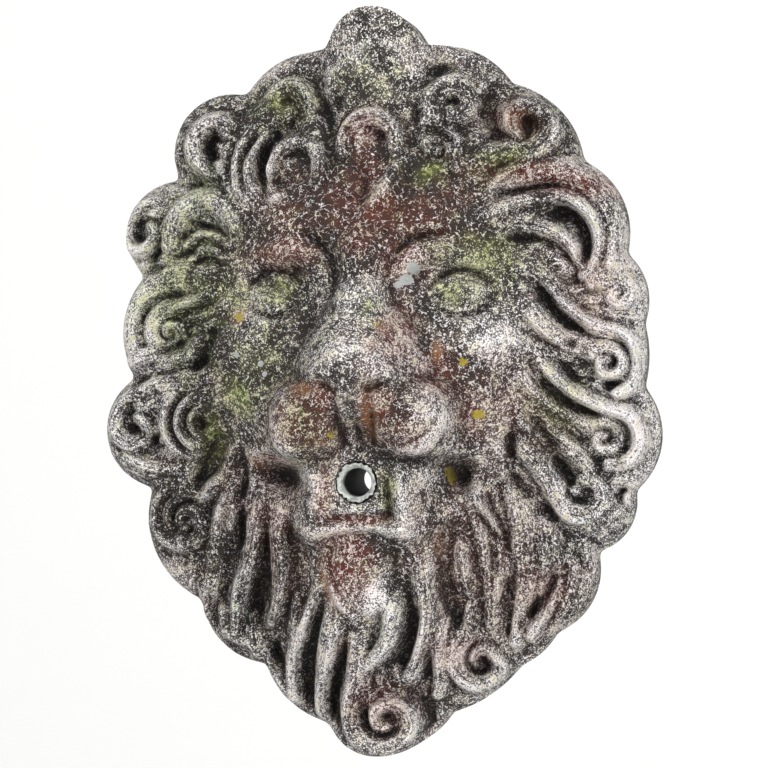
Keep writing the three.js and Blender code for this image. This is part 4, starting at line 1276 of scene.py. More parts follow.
class Weathering(Enum):
    """What has settled on the stone or worn off it, and where it is thickest."""

    MOSS = (
        Patch((-58, 62), (18, 12), 0.9),
        Patch((-88, 57), (13, 13), 0.8),
        Patch((78, 84), (28, 20), 0.75),
        Patch((62, 62), (14, 10), 0.7),
        Patch((42, 142), (16, 8), 0.7, 20),
        Patch((90, 150), (22, 10), 0.7, 15),
        Patch((-61, 192), (22, 15), 0.7),
        Patch((-112, -36), (14, 26), 0.8),
        Patch((-86, -8), (16, 18), 0.8),
        Patch((-130, 70), (44, 60), 0.6),
        Patch((-70, 20), (26, 40), 0.45),
        Patch((-30, -30), (20, 24), 0.35),
        Patch((130, -20), (26, 26), 0.45),
        Patch((-118, 132), (14, 20), 0.6),
        Patch((0, 206), (26, 20), 0.4),
        Patch((10, 50), (7, 9), 0.7),
        Patch((22, -72), (6, 14), 0.7),
    )
    OXIDE = (
        Patch((4, 114), (72, 26), 0.5),
        Patch((0, 140), (14, 24), 0.6),
        Patch((-2, 172), (16, 14), 0.8),
        Patch((-54, 88), (34, 12), 0.8),
        Patch((28, 84), (18, 16), 0.8),
        Patch((0, 94), (17, 12), 0.7),
        Patch((-33, -25), (27, 25), 0.5),
        Patch((42, -30), (22, 18), 0.4),
        Patch((104, -20), (60, 30), 0.4, -20),
        Patch((78, -120), (50, 60), 0.45),
        Patch((-60, -100), (40, 60), 0.35),
        Patch((120, 138), (44, 9), 1.4, -8),
        Patch((94, 180), (14, 10), 0.9),
        Patch((30, 34), (10, 22), 0.9),
        Patch((52, 4), (14, 18), 0.8),
        Patch((-8, -118), (18, 24), 1.2),
        Patch((-22, -75), (5, 18), 1.2),
        Patch((2, -91), (22, 4), 1.2),
        Patch((8, -218), (28, 18), 0.8),
        Patch((62, -182), (24, 16), 0.8),
        Patch((118, -140), (28, 22), 0.7),
        Patch((-18, -10), (9, 11), 0.9),
        Patch((20, -14), (9, 12), 1.1),
        Patch((-60, -53), (14, 4), 1.0, -20),
        Patch((74, -25), (10, 16), 0.8),
        Patch((150, 60), (24, 44), 0.5),
    )
    OCHRE = (
        Patch((-32, -4), (15, 7), 1.0),
        Patch((12, -22), (9, 22), 1.1),
        Patch((-20, -38), (12, 8), 0.6),
        Patch((20, 36), (6, 7), 1.0),
        Patch((15, 24), (6, 8), 1.0, -30),
        Patch((52, 21), (5, 8), 1.2),
        Patch((-24, -136), (6, 22), 0.9, 15),
        Patch((-14, -178), (10, 12), 0.7),
        Patch((-86, 46), (9, 8), 0.9),
        Patch((-76, -54), (12, 5), 0.9, -20),
        Patch((50, -108), (5, 12), 0.8),
        Patch((58, -66), (5, 10), 0.7),
        Patch((102, 176), (16, 14), 0.7),
        Patch((8, 118), (40, 14), 0.35),
        Patch((150, 60), (26, 40), 0.3),
    )
    LIME = (
        Patch((172, 10), (34, 120), 1.4),
        Patch((13, 134), (7, 15), 2.2, -28),
        Patch((-47, 129), (24, 4), 1.2, 18),
        Patch((-36, 152), (6, 12), 1.0),
        Patch((94, 132), (22, 4), 1.5, 30),
        Patch((140, -92), (40, 30), 0.8),
        Patch((88, 30), (20, 13), 1.7),
        Patch((1, 54), (15, 14), 0.9),
        Patch((4, 22), (22, 7), 1.0),
        Patch((52, -18), (12, 24), 1.1, 25),
        Patch((14, -146), (10, 18), 2.0),
        Patch((-40, -60), (15, 8), 1.2, -35),
        Patch((45, -61), (9, 9), 1.0),
        Patch((29, -75), (6, 24), 0.8),
        Patch((-160, 60), (24, 60), 1.3),
        Patch((-120, 124), (46, 26), 1.3),
        Patch((2, 222), (28, 10), 0.7),
        Patch((148, 106), (14, 24), 1.4),
        Patch((92, 112), (20, 9), 0.9),
        Patch((-94, -142), (13, 28), 0.9),
        Patch((-75, 44), (14, 20), 0.6),
        Patch((-172, -36), (22, 32), 0.6),
        Patch((1, -99), (32, 5), 1.2),
        Patch((0, -84), (20, 5), 1.0),
        Patch((64, -186), (34, 24), 0.8),
        Patch((-10, -196), (40, 30), 0.4),
    )
    SOOT = (
        Patch((2, 120), (74, 34), 2.7),
        Patch((-52, 84), (28, 14), 1.2),
        Patch((46, 90), (20, 9), 0.8),
        Patch((-2, -118), (18, 26), 1.0),
        Patch((66, -2), (20, 20), 0.9),
        Patch((2, 86), (26, 14), 0.8),
        Patch((-104, -45), (14, 42), 1.3, 10),
        Patch((-66, -126), (15, 44), 1.3),
        Patch((-110, -130), (24, 40), 0.7),
        Patch((100, 180), (52, 16), 0.8, -30),
        Patch((-90, 184), (52, 20), 0.3, 30),
        Patch((122, 138), (44, 11), 1.7, -10),
        Patch((56, 8), (18, 26), 0.9),
        Patch((28, 36), (10, 14), 0.7),
        Patch((-98, 5), (20, 34), 0.9),
        Patch((-150, -92), (32, 26), 0.9),
        Patch((-45, 40), (20, 13), 0.8),
        Patch((-32, -22), (26, 24), 1.5),
        Patch((28, -26), (20, 20), 1.5),
        Patch((10, 4), (10, 8), 0.9),
        Patch((12, -28), (12, 14), 0.6),
        Patch((60, -130), (10, 40), 0.5),
        Patch((-60, -200), (50, 26), 0.3),
    )
    PALE_LICHEN = (
        Patch((36, 76.5), (4.4, 4.4), 1.6),
        Patch((31.4, 68.8), (4.8, 4), 1.6),
        Patch((26.6, 65.4), (3, 2.8), 1.5),
        Patch((-69, 13), (2.4, 2.4), 1.6),
        Patch((-66, 6), (2.2, 2.2), 1.6),
        Patch((-87, 19), (2.4, 2.4), 1.6),
    )
    LICHEN = (
        Patch((78, -21), (6, 4.5), 1.6),
        Patch((69, 14), (4.5, 4), 1.5),
        Patch((-86, 44), (4.5, 4), 1.5),
        Patch((57, -62), (4, 9), 1.5, 12),
        Patch((17, 40), (4, 7), 1.0),
        Patch((-14, -34), (4, 6), 1.2),
    )

    def at(self, x: Array, z: Array) -> Array:
        """How thick it lies at each place, from 0."""
        thick = np.zeros_like(x)
        for patch in self.value:
            thick = np.maximum(thick, patch.strength * mound(x, z, patch.at, patch.size, patch.turn))
        return thick


# Weathering that is kept on the vertices under its own name, and all the names that are kept there.
SETTLED = (Weathering.OXIDE, Weathering.OCHRE, Weathering.MOSS, Weathering.LICHEN, Weathering.PALE_LICHEN)
KEPT = ("bloom", "depth", *(kind.name.lower() for kind in SETTLED), "beside", "combed")


@dataclass
class Survey:
    """The relief on a regular raster, its edges rounded by wear, to tell crests from hollows."""

    relief: Relief
    step: float = 0.8
    half: Pair = (204, 264)
    wear: float = 0.8

    def __post_init__(self) -> None:
        """Reads the relief and wears it."""
        self.across = np.arange(-self.half[0], self.half[0] + self.step, self.step)
        self.up = np.arange(-self.half[1], self.half[1] + self.step, self.step)
        x, z = np.meshgrid(self.across, self.up)
        self.level = self.soften(self.relief.height(x.ravel(), z.ravel()).reshape(x.shape), self.wear)

    def soften(self, raster: Array, spread: float) -> Array:
        """The raster evened out over spread millimetres."""
        half = int(3 * spread / self.step) + 1
        kernel = np.exp(-0.5 * (np.arange(-half, half + 1) * self.step / spread) ** 2)
        kernel /= kernel.sum()
        wide = np.pad(raster, half, mode="edge")
        rows = sum(k * wide[:, i : i + raster.shape[1]] for i, k in enumerate(kernel))
        return sum(k * rows[i : i + raster.shape[0]] for i, k in enumerate(kernel))

    def sample(self, raster: Array, x: Array, z: Array) -> Array:
        """The raster read between its points.

        Args:
            raster: the values.
            x: places across.
            z: places upwards.

        Returns:
            The value at each place.
        """
        i = np.clip((x + self.half[0]) / self.step, 0, len(self.across) - 1.001)
        j = np.clip((z + self.half[1]) / self.step, 0, len(self.up) - 1.001)
        a, b = i.astype(int), j.astype(int)
        fa, fb = i - a, j - b
        low = raster[b, a] * (1 - fa) + raster[b, a + 1] * fa
        high = raster[b + 1, a] * (1 - fa) + raster[b + 1, a + 1] * fa
        return low * (1 - fb) + high * fb

    def height(self, x: Array, z: Array) -> Array:
        """The worn height at each place."""
        return self.sample(self.level, x, z)

    def above(self, x: Array, z: Array, spread: float) -> Array:
        """How far each place stands over what lies within about spread millimetres."""
        return self.sample(self.level - self.soften(self.level, spread), x, z)


@dataclass
class SpoutSeat:
    """The hole for the pipe: its place, its bore, its chipped mouth and the recess behind.

    past is how far the cutter goes on in front of the casting and behind it, to cut clean through.
    """

    at: Pair = (0, -66)
    bore: float = 12.4
    mouth: float = 14.6
    mouth_from: float = 99
    mouth_to: float = 112
    recess: float = 20
    recess_depth: float = 30
    sides: int = 72
    past: Pair = (40, 5)
    axis: float = 0.01

    def cutter(self) -> bpy.types.Object:
        """The body that is cut out of the casting, closed by a ring of almost no radius at each end."""
        ahead, behind = self.past
        profile = [
            (self.axis, -behind),
            (self.recess, -behind),
            (self.recess, self.recess_depth),
            (self.bore, self.recess_depth),
            (self.bore, self.mouth_from),
            (self.mouth, self.mouth_to),
            (self.mouth + 1, self.mouth_to + ahead),
            (self.axis, self.mouth_to + ahead),
        ]
        points, faces = turned_mesh(profile, self.sides, self.at)
        cutter = mesh_object("seat_cutter", points, faces)
        face_outwards(cutter.data)
        return cutter


@dataclass
class LionMask:
    """The casting: the relief on its front, a side wall all round, a flat back and the pipe's seat.

    cells is how many meshes the net has each way, and core how round the net is in its middle, from 0
    for square to 1 for round. The wear dies out over the last sound_edge millimetres before the
    outline, and what tells crests from hollows over the last rim millimetres. strand and lock are how
    far round it each is compared, and how far a crest of it stands out there.
    """

    relief: Relief
    seat: SpoutSeat
    cells: int = 296
    core: float = 0.5
    side_rings: int = 3
    sound_edge: float = 3
    rim: float = 9
    strand: Pair = (2.2, 1.2)
    lock: Pair = (7, 4)
    erosion: Erosion = Erosion()

    def net(self) -> tuple[Array, Array]:
        """A square net drawn out to the outline.

        Returns:
            The places across and upwards, one for each knot.
        """
        line = np.linspace(-1, 1, self.cells + 1)
        u, v = [part.ravel() for part in np.meshgrid(line, line)]
        ring = np.maximum(np.abs(u), np.abs(v))
        square = np.arctan2(v, u)
        wide = np.abs(u) >= np.abs(v)
        slope = np.where(wide, v / np.where(u == 0, 1, u), u / np.where(v == 0, 1, v))
        even = np.where(wide, np.pi / 4 * slope, np.pi / 2 - np.pi / 4 * slope)
        even = even + np.where(np.where(wide, u, v) < 0, np.pi, 0)
        blend = self.core + (1 - self.core) * ring
        angle = square + blend * np.arctan2(np.sin(even - square), np.cos(even - square))
        angle = np.arctan2(np.sin(angle), np.cos(angle))
        out = blend * ring + (1 - blend) * np.hypot(u, v) / math.sqrt(2)
        reach = self.relief.outline.radius(angle) * out
        return reach * np.cos(angle), reach * np.sin(angle)

    def shell(self, x: Array, height: Array, z: Array) -> tuple[Array, list[tuple[int, ...]]]:
        """The front, the side wall and the back as one closed body.

        Args:
            x: places of the net's knots across.
            height: how high they stand over the wall.
            z: their places upwards.

        Returns:
            The points, the net's knots first, and the faces.
        """
        row = self.cells + 1
        knots = np.arange(row * row).reshape(row, row)
        quads = np.stack([knots[:-1, :-1], knots[:-1, 1:], knots[1:, 1:], knots[1:, :-1]], -1).reshape(-1, 4)
        edge = np.concatenate([knots[0, :-1], knots[:-1, -1], knots[-1, :0:-1], knots[:0:-1, 0]])
        rings = [edge]
        points = [np.stack([x, -height, z], 1)]
        count = row * row
        for i in range(1, self.side_rings + 1):
            left = 1 - i / self.side_rings
            points.append(np.stack([x[edge], -height[edge] * left, z[edge]], 1))
            rings.append(np.arange(count, count + len(edge)))
            count += len(edge)
        faces = [tuple(quad) for quad in quads.tolist()]
        for near, far in zip(rings[:-1], rings[1:]):
            strip = np.stack([near, far, np.roll(far, -1), np.roll(near, -1)], 1)
            faces += [tuple(quad) for quad in strip.tolist()]
        faces.append(tuple(rings[-1][::-1].tolist()))
        return np.concatenate(points), faces

    def shape(self) -> bpy.types.Object:
        """The closed casting before its seat is cut.

        Returns:
            The object, with how each place lies to what is round it kept on its vertices.
        """
        x, z = self.net()
        survey = Survey(self.relief)
        worn = np.clip(self.relief.inside(x, z) / self.sound_edge, 0, 1)
        height = survey.height(x, z) + self.erosion.at(x, z) * worn
        points, faces = self.shell(x, height, z)
        piece = mesh_object("lion_mask_casting", points, faces)
        self.keep_lie(piece.data, survey, x, z, len(points))
        return piece

    def keep_lie(self, mesh: bpy.types.Mesh, survey: Survey, x: Array, z: Array, count: int) -> None:
        """Keeps crests, hollows and weathering on the vertices.

        Args:
            mesh: the casting's mesh.
            survey: the relief on a raster.
            x: places of the front's knots across.
            z: places of the front's knots upwards.
            count: number of vertices of the whole mesh.
        """
        rest = np.zeros(count - len(x))
        rim = np.clip(1 - self.relief.inside(x, z) / self.rim, 0, 1)
        crest, swell = (
            survey.above(x, z, spread) / full * (1 - rim) + 0.5 * rim
            for spread, full in (self.strand, self.lock)
        )
        lime, soot = Weathering.LIME.at(x, z), Weathering.SOOT.at(x, z)
        lie = {
            # lime thicker on the crests and thinner in the hollows: partly real lime, partly painted highlight
            # on the crests and painted shade in the hollows
            "bloom": 0.05 * lime - 0.045 * soot + 0.026 * crest + 0.013 * swell,
            # how deep a place lies below what is round it, which darkens it with dirt and painted shade
            "depth": -(swell + 0.35 * crest),
        }
        for kind in SETTLED:
            lie[kind.name.lower()] = kind.at(x, z)
        lie["beside"], lie["combed"] = self.relief.combed(x, z)
        for name, values in lie.items():
            store(mesh, name, np.concatenate([values, rest]))

    def build(self) -> bpy.types.Object:
        """The finished casting.

        Returns:
            The object, with its seat cut.
        """
        piece = self.shape()
        # the back is one face with a corner at every knot of the edge, which the cut needs as triangles
        rework(
            piece.data,
            lambda work: bmesh.ops.triangulate(work, faces=[f for f in work.faces if len(f.verts) > 4]),
        )
        cutter = self.seat.cutter()
        cut = piece.modifiers.new("seat", "BOOLEAN")
        cut.object = cutter
        cut.operation = "DIFFERENCE"
        cut.solver = "MANIFOLD"
        bpy.context.view_layer.update()
        done = bpy.data.meshes.new_from_object(piece.evaluated_get(bpy.context.evaluated_depsgraph_get()))
        piece.modifiers.clear()
        piece.data = done
        done.name = piece.name
        done.materials.clear()
        bpy.data.objects.remove(cutter)
        shade_smooth(done)
        return piece


@dataclass
class SpoutPipe:
    """The lead pipe in the mouth, its end dressed back in ragged splayed tongues.

    Each of waves is a number of tongues round the end, laid over the others. rag is how far they stand
    in and out at the lip's outer edge, and rag_inside the same on its inner side.
    """

    at: Pair = (0, -66)
    outer: float = 12.0
    inner: float = 9.2
    back: float = 28
    front: float = 111.5
    flare: float = 13.0
    flare_from: float = 104
    sides: int = 120
    seed: int = 4
    waves: tuple[int, ...] = (5, 9, 14, 19, 23)
    rag: float = 0.9
    rag_inside: float = 0.35

    def jag(self, angle: Array) -> Array:
        """How far the end stands out at each angle, -1 to 1."""
        chance = np.random.default_rng(self.seed)
        jag = sum(chance.uniform(0.4, 1) * np.sin(k * angle + chance.uniform(0, 6.3)) for k in self.waves)
        return jag / np.abs(jag).max()

    def build(self) -> bpy.types.Object:
        """The pipe.

        Returns:
            The object.
        """
        outside = [
            (self.inner, self.back),
            (self.outer, self.back),
            (self.outer, self.back + 30),
            (self.outer, self.flare_from - 3),
            (self.outer + 0.1, self.flare_from),
            (self.outer + 0.6, self.flare_from + 4),
            (self.flare - 0.3, self.front - 1.5),
        ]
        lip = [
            (self.flare, self.front - 0.3),
            (self.flare - 0.6, self.front),
            (self.inner + 2.6, self.front - 0.4),
            (self.inner + 1.2, self.front - 1.6),
        ]
        bore = [
            (self.inner + 0.5, self.front - 4),
            (self.inner, self.flare_from - 2),
            (self.inner, self.back + 30),
        ]
        points, faces = turned_mesh(outside + lip + bore, self.sides, self.at)
        angle = 2 * np.pi * np.arange(self.sides) / self.sides
        jag = self.jag(angle)
        tongue = len(outside)
        for i in range(tongue - 1, tongue + len(lip)):
            part = slice(i * self.sides, (i + 1) * self.sides)
            amount = self.rag if i < tongue + 2 else self.rag_inside
            points[part, 0] += jag * amount * np.cos(angle)
            points[part, 2] += jag * amount * np.sin(angle)
            points[part, 1] += np.abs(jag) * amount * 0.8
        piece = mesh_object("spout_pipe_lead", points, faces)
        face_outwards(piece.data)
        # the bore behind its first 5 mm, which is painted near black: the water's film and painted shade down
        # the bore
        radius = np.hypot(points[:, 0] - self.at[0], points[:, 2] - self.at[1])
        inside = (radius < self.inner + 0.4) & (-points[:, 1] < self.front - 5)
        store(piece.data, "inside", inside.astype(float))
        shade_smooth(piece.data)
        return piece


# Finishes


def linear(code: str) -> Colour:
    """An sRGB hex colour as linear light."""
    parts = [int(code[i : i + 2], 16) / 255 for i in (1, 3, 5)]
    return (*[c / 12.92 if c <= 0.04045 else ((c + 0.055) / 1.055) ** 2.4 for c in parts], 1.0)


def add(tree: Tree, kind: str, inputs: Inputs, out: str | int = 0, **settings: object) -> Socket:
    """Adds a node.

    Args:
        tree: the tree it goes in.
        kind: its type, such as ShaderNodeTexNoise.
        inputs: what each input is set to or linked from.
        out: which of its outputs is wanted.
        settings: the node's own settings.

    Returns:
        That output, or the node's first input where it has no output.
    """
    node = tree.nodes.new(kind)
    for name, value in settings.items():
        setattr(node, name, value)
    for name, value in inputs.items():
        if isinstance(value, Socket):
            tree.links.new(value, node.inputs[name])
        else:
            node.inputs[name].default_value = value
    return node.outputs[out] if node.outputs else node.inputs[0]


@dataclass(frozen=True)
class WeatheredCastStone:
    """Cast stone left outdoors for decades.

    The eye sees a dark matt crust, fine grains and a thin network of white lime that lie thickest on
    the crests, where the lime is also a painted highlight, red-brown where the crust has worn off, and moss
    and soot in the hollows, the hollows also darkened with painted shade.

    Pattern sizes are real ones, in millimetres, but for the grain: sand and lime lie in grains of a
    few tenths of a millimetre, too fine to show, and are drawn 1.1 mm across. Grit is coarse sand, 3 mm.
    The cells of the network are 6.5 mm, and its lines kink every 3.4 mm. Hairs lie 3.2 mm apart.
    Stains spread in blotches of 12 mm and mottles of 40 mm.
    """

    crust: str = "#302a26"
    # also the colour of the painted shade laid into the hollows
    soot: str = "#12100f"
    oxide: str = "#5a2e25"
    ochre: str = "#8a5a32"
    olive: str = "#4b4b2e"
    moss: str = "#78863f"
    lime: str = "#f3f2f4"
    lime_dull: str = "#b1aeb0"
    chalk: str = "#8d8781"
    lime_green: str = "#bcc884"
    lime_red: str = "#d3a698"
    lichen: str = "#a8952f"
    pale_lichen: str = "#b4b8b6"
    grain_mm: float = 1.1
    grit_mm: float = 3.0
    crackle_mm: float = 6.5
    kink_mm: float = 3.4
    kink_reach_m: float = 0.009
    blotch_mm: float = 12
    mottle_mm: float = 40
    hair_mm: float = 3.2
    bump_m: float = 0.0008

    def cues(self, tree: Tree, place: Socket) -> dict[str, Socket]:
        """What the finish is drawn from.

        Args:
            tree: the material's tree.
            place: the place on the object.

        Returns:
            Noises of four sizes and what the vertices keep, by name.
        """
        cues = {name: add(tree, "ShaderNodeAttribute", {}, "Fac", attribute_name=name) for name in KEPT}
        noises = {
            "grain": (self.grain_mm, 1),
            "grit": (self.grit_mm, 3),
            "blotch": (self.blotch_mm, 4),
            "mottle": (self.mottle_mm, 4),
        }
        for name, (size_mm, detail) in noises.items():
            inputs = {"Vector": place, "Scale": PER_METRE / size_mm, "Detail": detail, "Roughness": 0.7}
            cues[name] = add(tree, "ShaderNodeTexNoise", inputs, "Fac")
        return cues

    def hairs(self, tree: Tree, cues: dict[str, Socket]) -> Socket:
        """Single hairs of the locks, which the mesh is too coarse for.

        Args:
            tree: the material's tree.
            cues: what the finish is drawn from.

        Returns:
            The height of the hairs, -1 to 1.
        """
        sway = add(tree, "ShaderNodeMath", {0: cues["blotch"], 1: 9}, operation="MULTIPLY")
        inputs = {0: cues["beside"], 1: 2 * math.pi / self.hair_mm, 2: sway}
        wave = add(tree, "ShaderNodeMath", inputs, operation="MULTIPLY_ADD")
        wave = add(tree, "ShaderNodeMath", {0: wave}, operation="SINE")
        return add(tree, "ShaderNodeMath", {0: wave, 1: cues["combed"]}, operation="MULTIPLY")

    def crackle(self, tree: Tree, place: Socket, cues: dict[str, Socket]) -> Socket:
        """The thin network of lime: the edges of cells, bent by noise and broken where it has worn off.

        Args:
            tree: the material's tree.
            place: the place on the object.
            cues: what the finish is drawn from.

        Returns:
            How thick the lines lie, 0 to 1.
        """
        inputs = {"Vector": place, "Scale": PER_METRE / self.kink_mm, "Detail": 2}
        bend = add(tree, "ShaderNodeTexNoise", inputs, "Color")
        inputs = {0: bend, 1: (self.kink_reach_m,) * 3, 2: place}
        bent = add(tree, "ShaderNodeVectorMath", inputs, operation="MULTIPLY_ADD")
        inputs = {"Vector": bent, "Scale": PER_METRE / self.crackle_mm}
        gap = add(tree, "ShaderNodeTexVoronoi", inputs, "Distance", feature="DISTANCE_TO_EDGE")
        worn = add(tree, "ShaderNodeMath", {0: cues["oxide"], 1: 0.1, 2: cues["grit"]}, operation="MULTIPLY_ADD")
        inputs = {"Value": gap, "From Min": 0.08, "From Max": 0.02}
        lines = add(tree, "ShaderNodeMapRange", inputs, interpolation_type="SMOOTHSTEP")
        inputs = {"Value": worn, "From Min": 0.5, "From Max": 0.6}
        broken = add(tree, "ShaderNodeMapRange", inputs, interpolation_type="SMOOTHSTEP")
        return add(tree, "ShaderNodeMath", {0: lines, 1: broken}, operation="MULTIPLY")

    def settle(self, tree: Tree, cues: dict[str, Socket]) -> None:
        """Works out where each thing lies that has settled on the stone, and the painted shade in the hollows,
        and adds it to the cues.

        Args:
            tree: the material's tree.
            cues: what the finish is drawn from, the hairs and the network of lime among them.
        """
        # what the vertices keep, broken up by the noises, each with its weight
        sums = (
            ("bloom", "bloom", (("blotch", 0.28), ("mottle", 0.3), ("hair", 0.022))),
            ("grains", "bloom", (("grain", 0.72), ("grit", 0.28))),
            ("rust", "oxide", (("mottle", 1.6), ("blotch", 1.4), ("grit", 1))),
            ("tawny", "ochre", (("blotch", 1), ("grit", 1.4))),
            ("damp", "moss", (("blotch", 2.4), ("grit", 1.6))),
            ("coat", "bloom", (("grain", 0.12),)),
            ("gold", "lichen", (("grit", 1.6),)),
            ("disc", "pale_lichen", (("grit", 0.8),)),
        )
        for name, base, parts in sums:
            level = cues[base]
            for part, weight in parts:
                inputs = {0: cues[part], 1: weight, 2: level}
                level = add(tree, "ShaderNodeMath", inputs, operation="MULTIPLY_ADD")
            cues[name] = level
        # from which level on each begins to show, from which it covers, and how much of it then shows
        ramps = (
            ("red", "rust", 1.92, 2.75, 1),
            ("tawny", "tawny", 1.45, 2.5, 1),
            ("film", "damp", 2.05, 2.8, 1),
            ("tuft", "damp", 2.75, 3.15, 1),
            ("black", "grit", 0.5, 0.62, 1),
            ("coat", "coat", 0.32, 0.5, 0.95),
            ("pale", "grains", 0.82, 0.93, 1),
            ("gold", "gold", 1.66, 1.9, 0.85),
            ("disc", "disc", 1.05, 1.2, 0.85),
            # dirt and painted shade in the hollows, from how deep they lie
            ("hollow_dirt_and_shade", "depth", 0.45, 2.4, 0.8),
        )
        for name, level, low, high, most in ramps:
            inputs = {"Value": cues[level], "From Min": low, "From Max": high, "To Max": most}
            cues[name] = add(tree, "ShaderNodeMapRange", inputs)
        inputs = {"Value": cues["grains"], "From Min": 0.829, "From Max": 0.885}
        specks = add(tree, "ShaderNodeMapRange", inputs, interpolation_type="SMOOTHSTEP")
        cues["white"] = add(tree, "ShaderNodeMath", {0: specks, 1: cues["web"]}, operation="MAXIMUM")
        # how much of each colour the lime takes on
        tints = (("new", "web", 0.9), ("green", "film", 0.75), ("pink", "red", 0.4), ("tan", "tawny", 0.35))
        for name, source, share in tints:
            cues[name] = add(tree, "ShaderNodeMath", {0: cues[source], 1: share}, operation="MULTIPLY")
        cues["pale"] = add(tree, "ShaderNodeMath", {0: cues["pale"], 1: cues["new"]}, operation="MAXIMUM")

    def skin(self, tree: Tree, cues: dict[str, Socket]) -> Socket:
        """The colour: the crust, the lime on it, and the lichen, dirt and painted shade of the hollows over
        both.

        Args:
            tree: the material's tree.
            cues: where each thing lies.

        Returns:
            The colour.
        """
        # red-brown oxide, an olive film, ochre stain, black grit, moss, and a thin chalky coat between
        # the grains where the lime is thick
        crust = linear(self.crust)
        covers = {
            "red": self.oxide,
            "film": self.olive,
            "tawny": self.ochre,
            "black": self.soot,
            "tuft": self.moss,
            "coat": self.chalk,
        }
        for name, code in covers.items():
            inputs = {0: cues[name], 6: crust, 7: linear(code)}
            crust = add(tree, "ShaderNodeMix", inputs, 2, data_type="RGBA")
        # the lime's own shade: whiter where it is thick or new, tinted by what lies under it
        shade = linear(self.lime_dull)
        tints = {"pale": self.lime, "green": self.lime_green, "pink": self.lime_red, "tan": self.ochre}
        for name, code in tints.items():
            inputs = {0: cues[name], 6: shade, 7: linear(code)}
            shade = add(tree, "ShaderNodeMix", inputs, 2, data_type="RGBA")
        skin = add(tree, "ShaderNodeMix", {0: cues["white"], 6: crust, 7: shade}, 2, data_type="RGBA")
        # lichen in ragged discs, gold and pale, and dirt with painted shade in the hollows, darker the deeper
        # they lie
        for name, code in {"gold": self.lichen, "disc": self.pale_lichen, "hollow_dirt_and_shade": self.soot}.items():
            inputs = {0: cues[name], 6: skin, 7: linear(code)}
            skin = add(tree, "ShaderNodeMix", inputs, 2, data_type="RGBA")
        return skin

    def material(self) -> bpy.types.Material:
        """The finish as a material.

        Returns:
            The material.
        """
        made = bpy.data.materials.new("weathered_cast_stone")
        made.use_nodes = True
        tree = made.node_tree
        tree.nodes.clear()
        place = add(tree, "ShaderNodeTexCoord", {}, "Object")
        cues = self.cues(tree, place)
        cues["hair"] = self.hairs(tree, cues)
        cues["web"] = self.crackle(tree, place, cues)
        self.settle(tree, cues)
        # relief too fine for the mesh
        height = cues["white"]
        for name, share in (("grain", 0.5), ("grit", 1.4), ("hair", 0.7)):
            inputs = {0: cues[name], 1: share, 2: height}
            height = add(tree, "ShaderNodeMath", inputs, operation="MULTIPLY_ADD")
        bump = add(tree, "ShaderNodeBump", {"Height": height, "Strength": 0.7, "Distance": self.bump_m})
        skin = self.skin(tree, cues)
        inputs = {"Base Color": skin, "Normal": bump, "Roughness": 0.9, "Specular IOR Level": 0.3}
        shader = add(tree, "ShaderNodeBsdfPrincipled", inputs)
        add(tree, "ShaderNodeOutputMaterial", {"Surface": shader})
        return made


@dataclass(frozen=True)
class OxidisedLead:
    """Lead pipe gone pale with carbonate.

    The eye sees a dull grey-white skin with hardly any shine, darker where it is rubbed, and a black
    film inside where the water ran, which is painted shade down the bore as well. The clouds of carbonate
    are about 4 mm across.
    """

    bloom: str = "#d3d5cf"
    bare: str = "#7a7e7b"
    film: str = "#0c0b0a"
    cloud_mm: float = 4
    bump_m: float = 0.0006

    def material(self) -> bpy.types.Material:
        """The finish as a material.

        Returns:
            The material.
        """
        made = bpy.data.materials.new("oxidised_lead")
        made.use_nodes = True
        tree = made.node_tree
        tree.nodes.clear()
        place = add(tree, "ShaderNodeTexCoord", {}, "Object")
        inputs = {"Vector": place, "Scale": PER_METRE / self.cloud_mm, "Detail": 5, "Roughness": 0.7}
        cloud = add(tree, "ShaderNodeTexNoise", inputs, "Fac")
        pale = add(tree, "ShaderNodeMapRange", {"Value": cloud, "From Min": 0.36, "From Max": 0.58})
        inside = add(tree, "ShaderNodeAttribute", {}, "Fac", attribute_name="inside")
        skin = linear(self.bare)
        # the near black down the bore is the water's film and painted shade as well
        for share, code in ((pale, self.bloom), (inside, self.film)):
            skin = add(tree, "ShaderNodeMix", {0: share, 6: skin, 7: linear(code)}, 2, data_type="RGBA")
        bump = add(tree, "ShaderNodeBump", {"Height": cloud, "Strength": 0.5, "Distance": self.bump_m})
        inputs = {"Base Color": skin, "Normal": bump, "Roughness": 0.75, "Metallic": 0.2}
        shader = add(tree, "ShaderNodeBsdfPrincipled", inputs)
        add(tree, "ShaderNodeOutputMaterial", {"Surface": shader})
        return made


# Studio


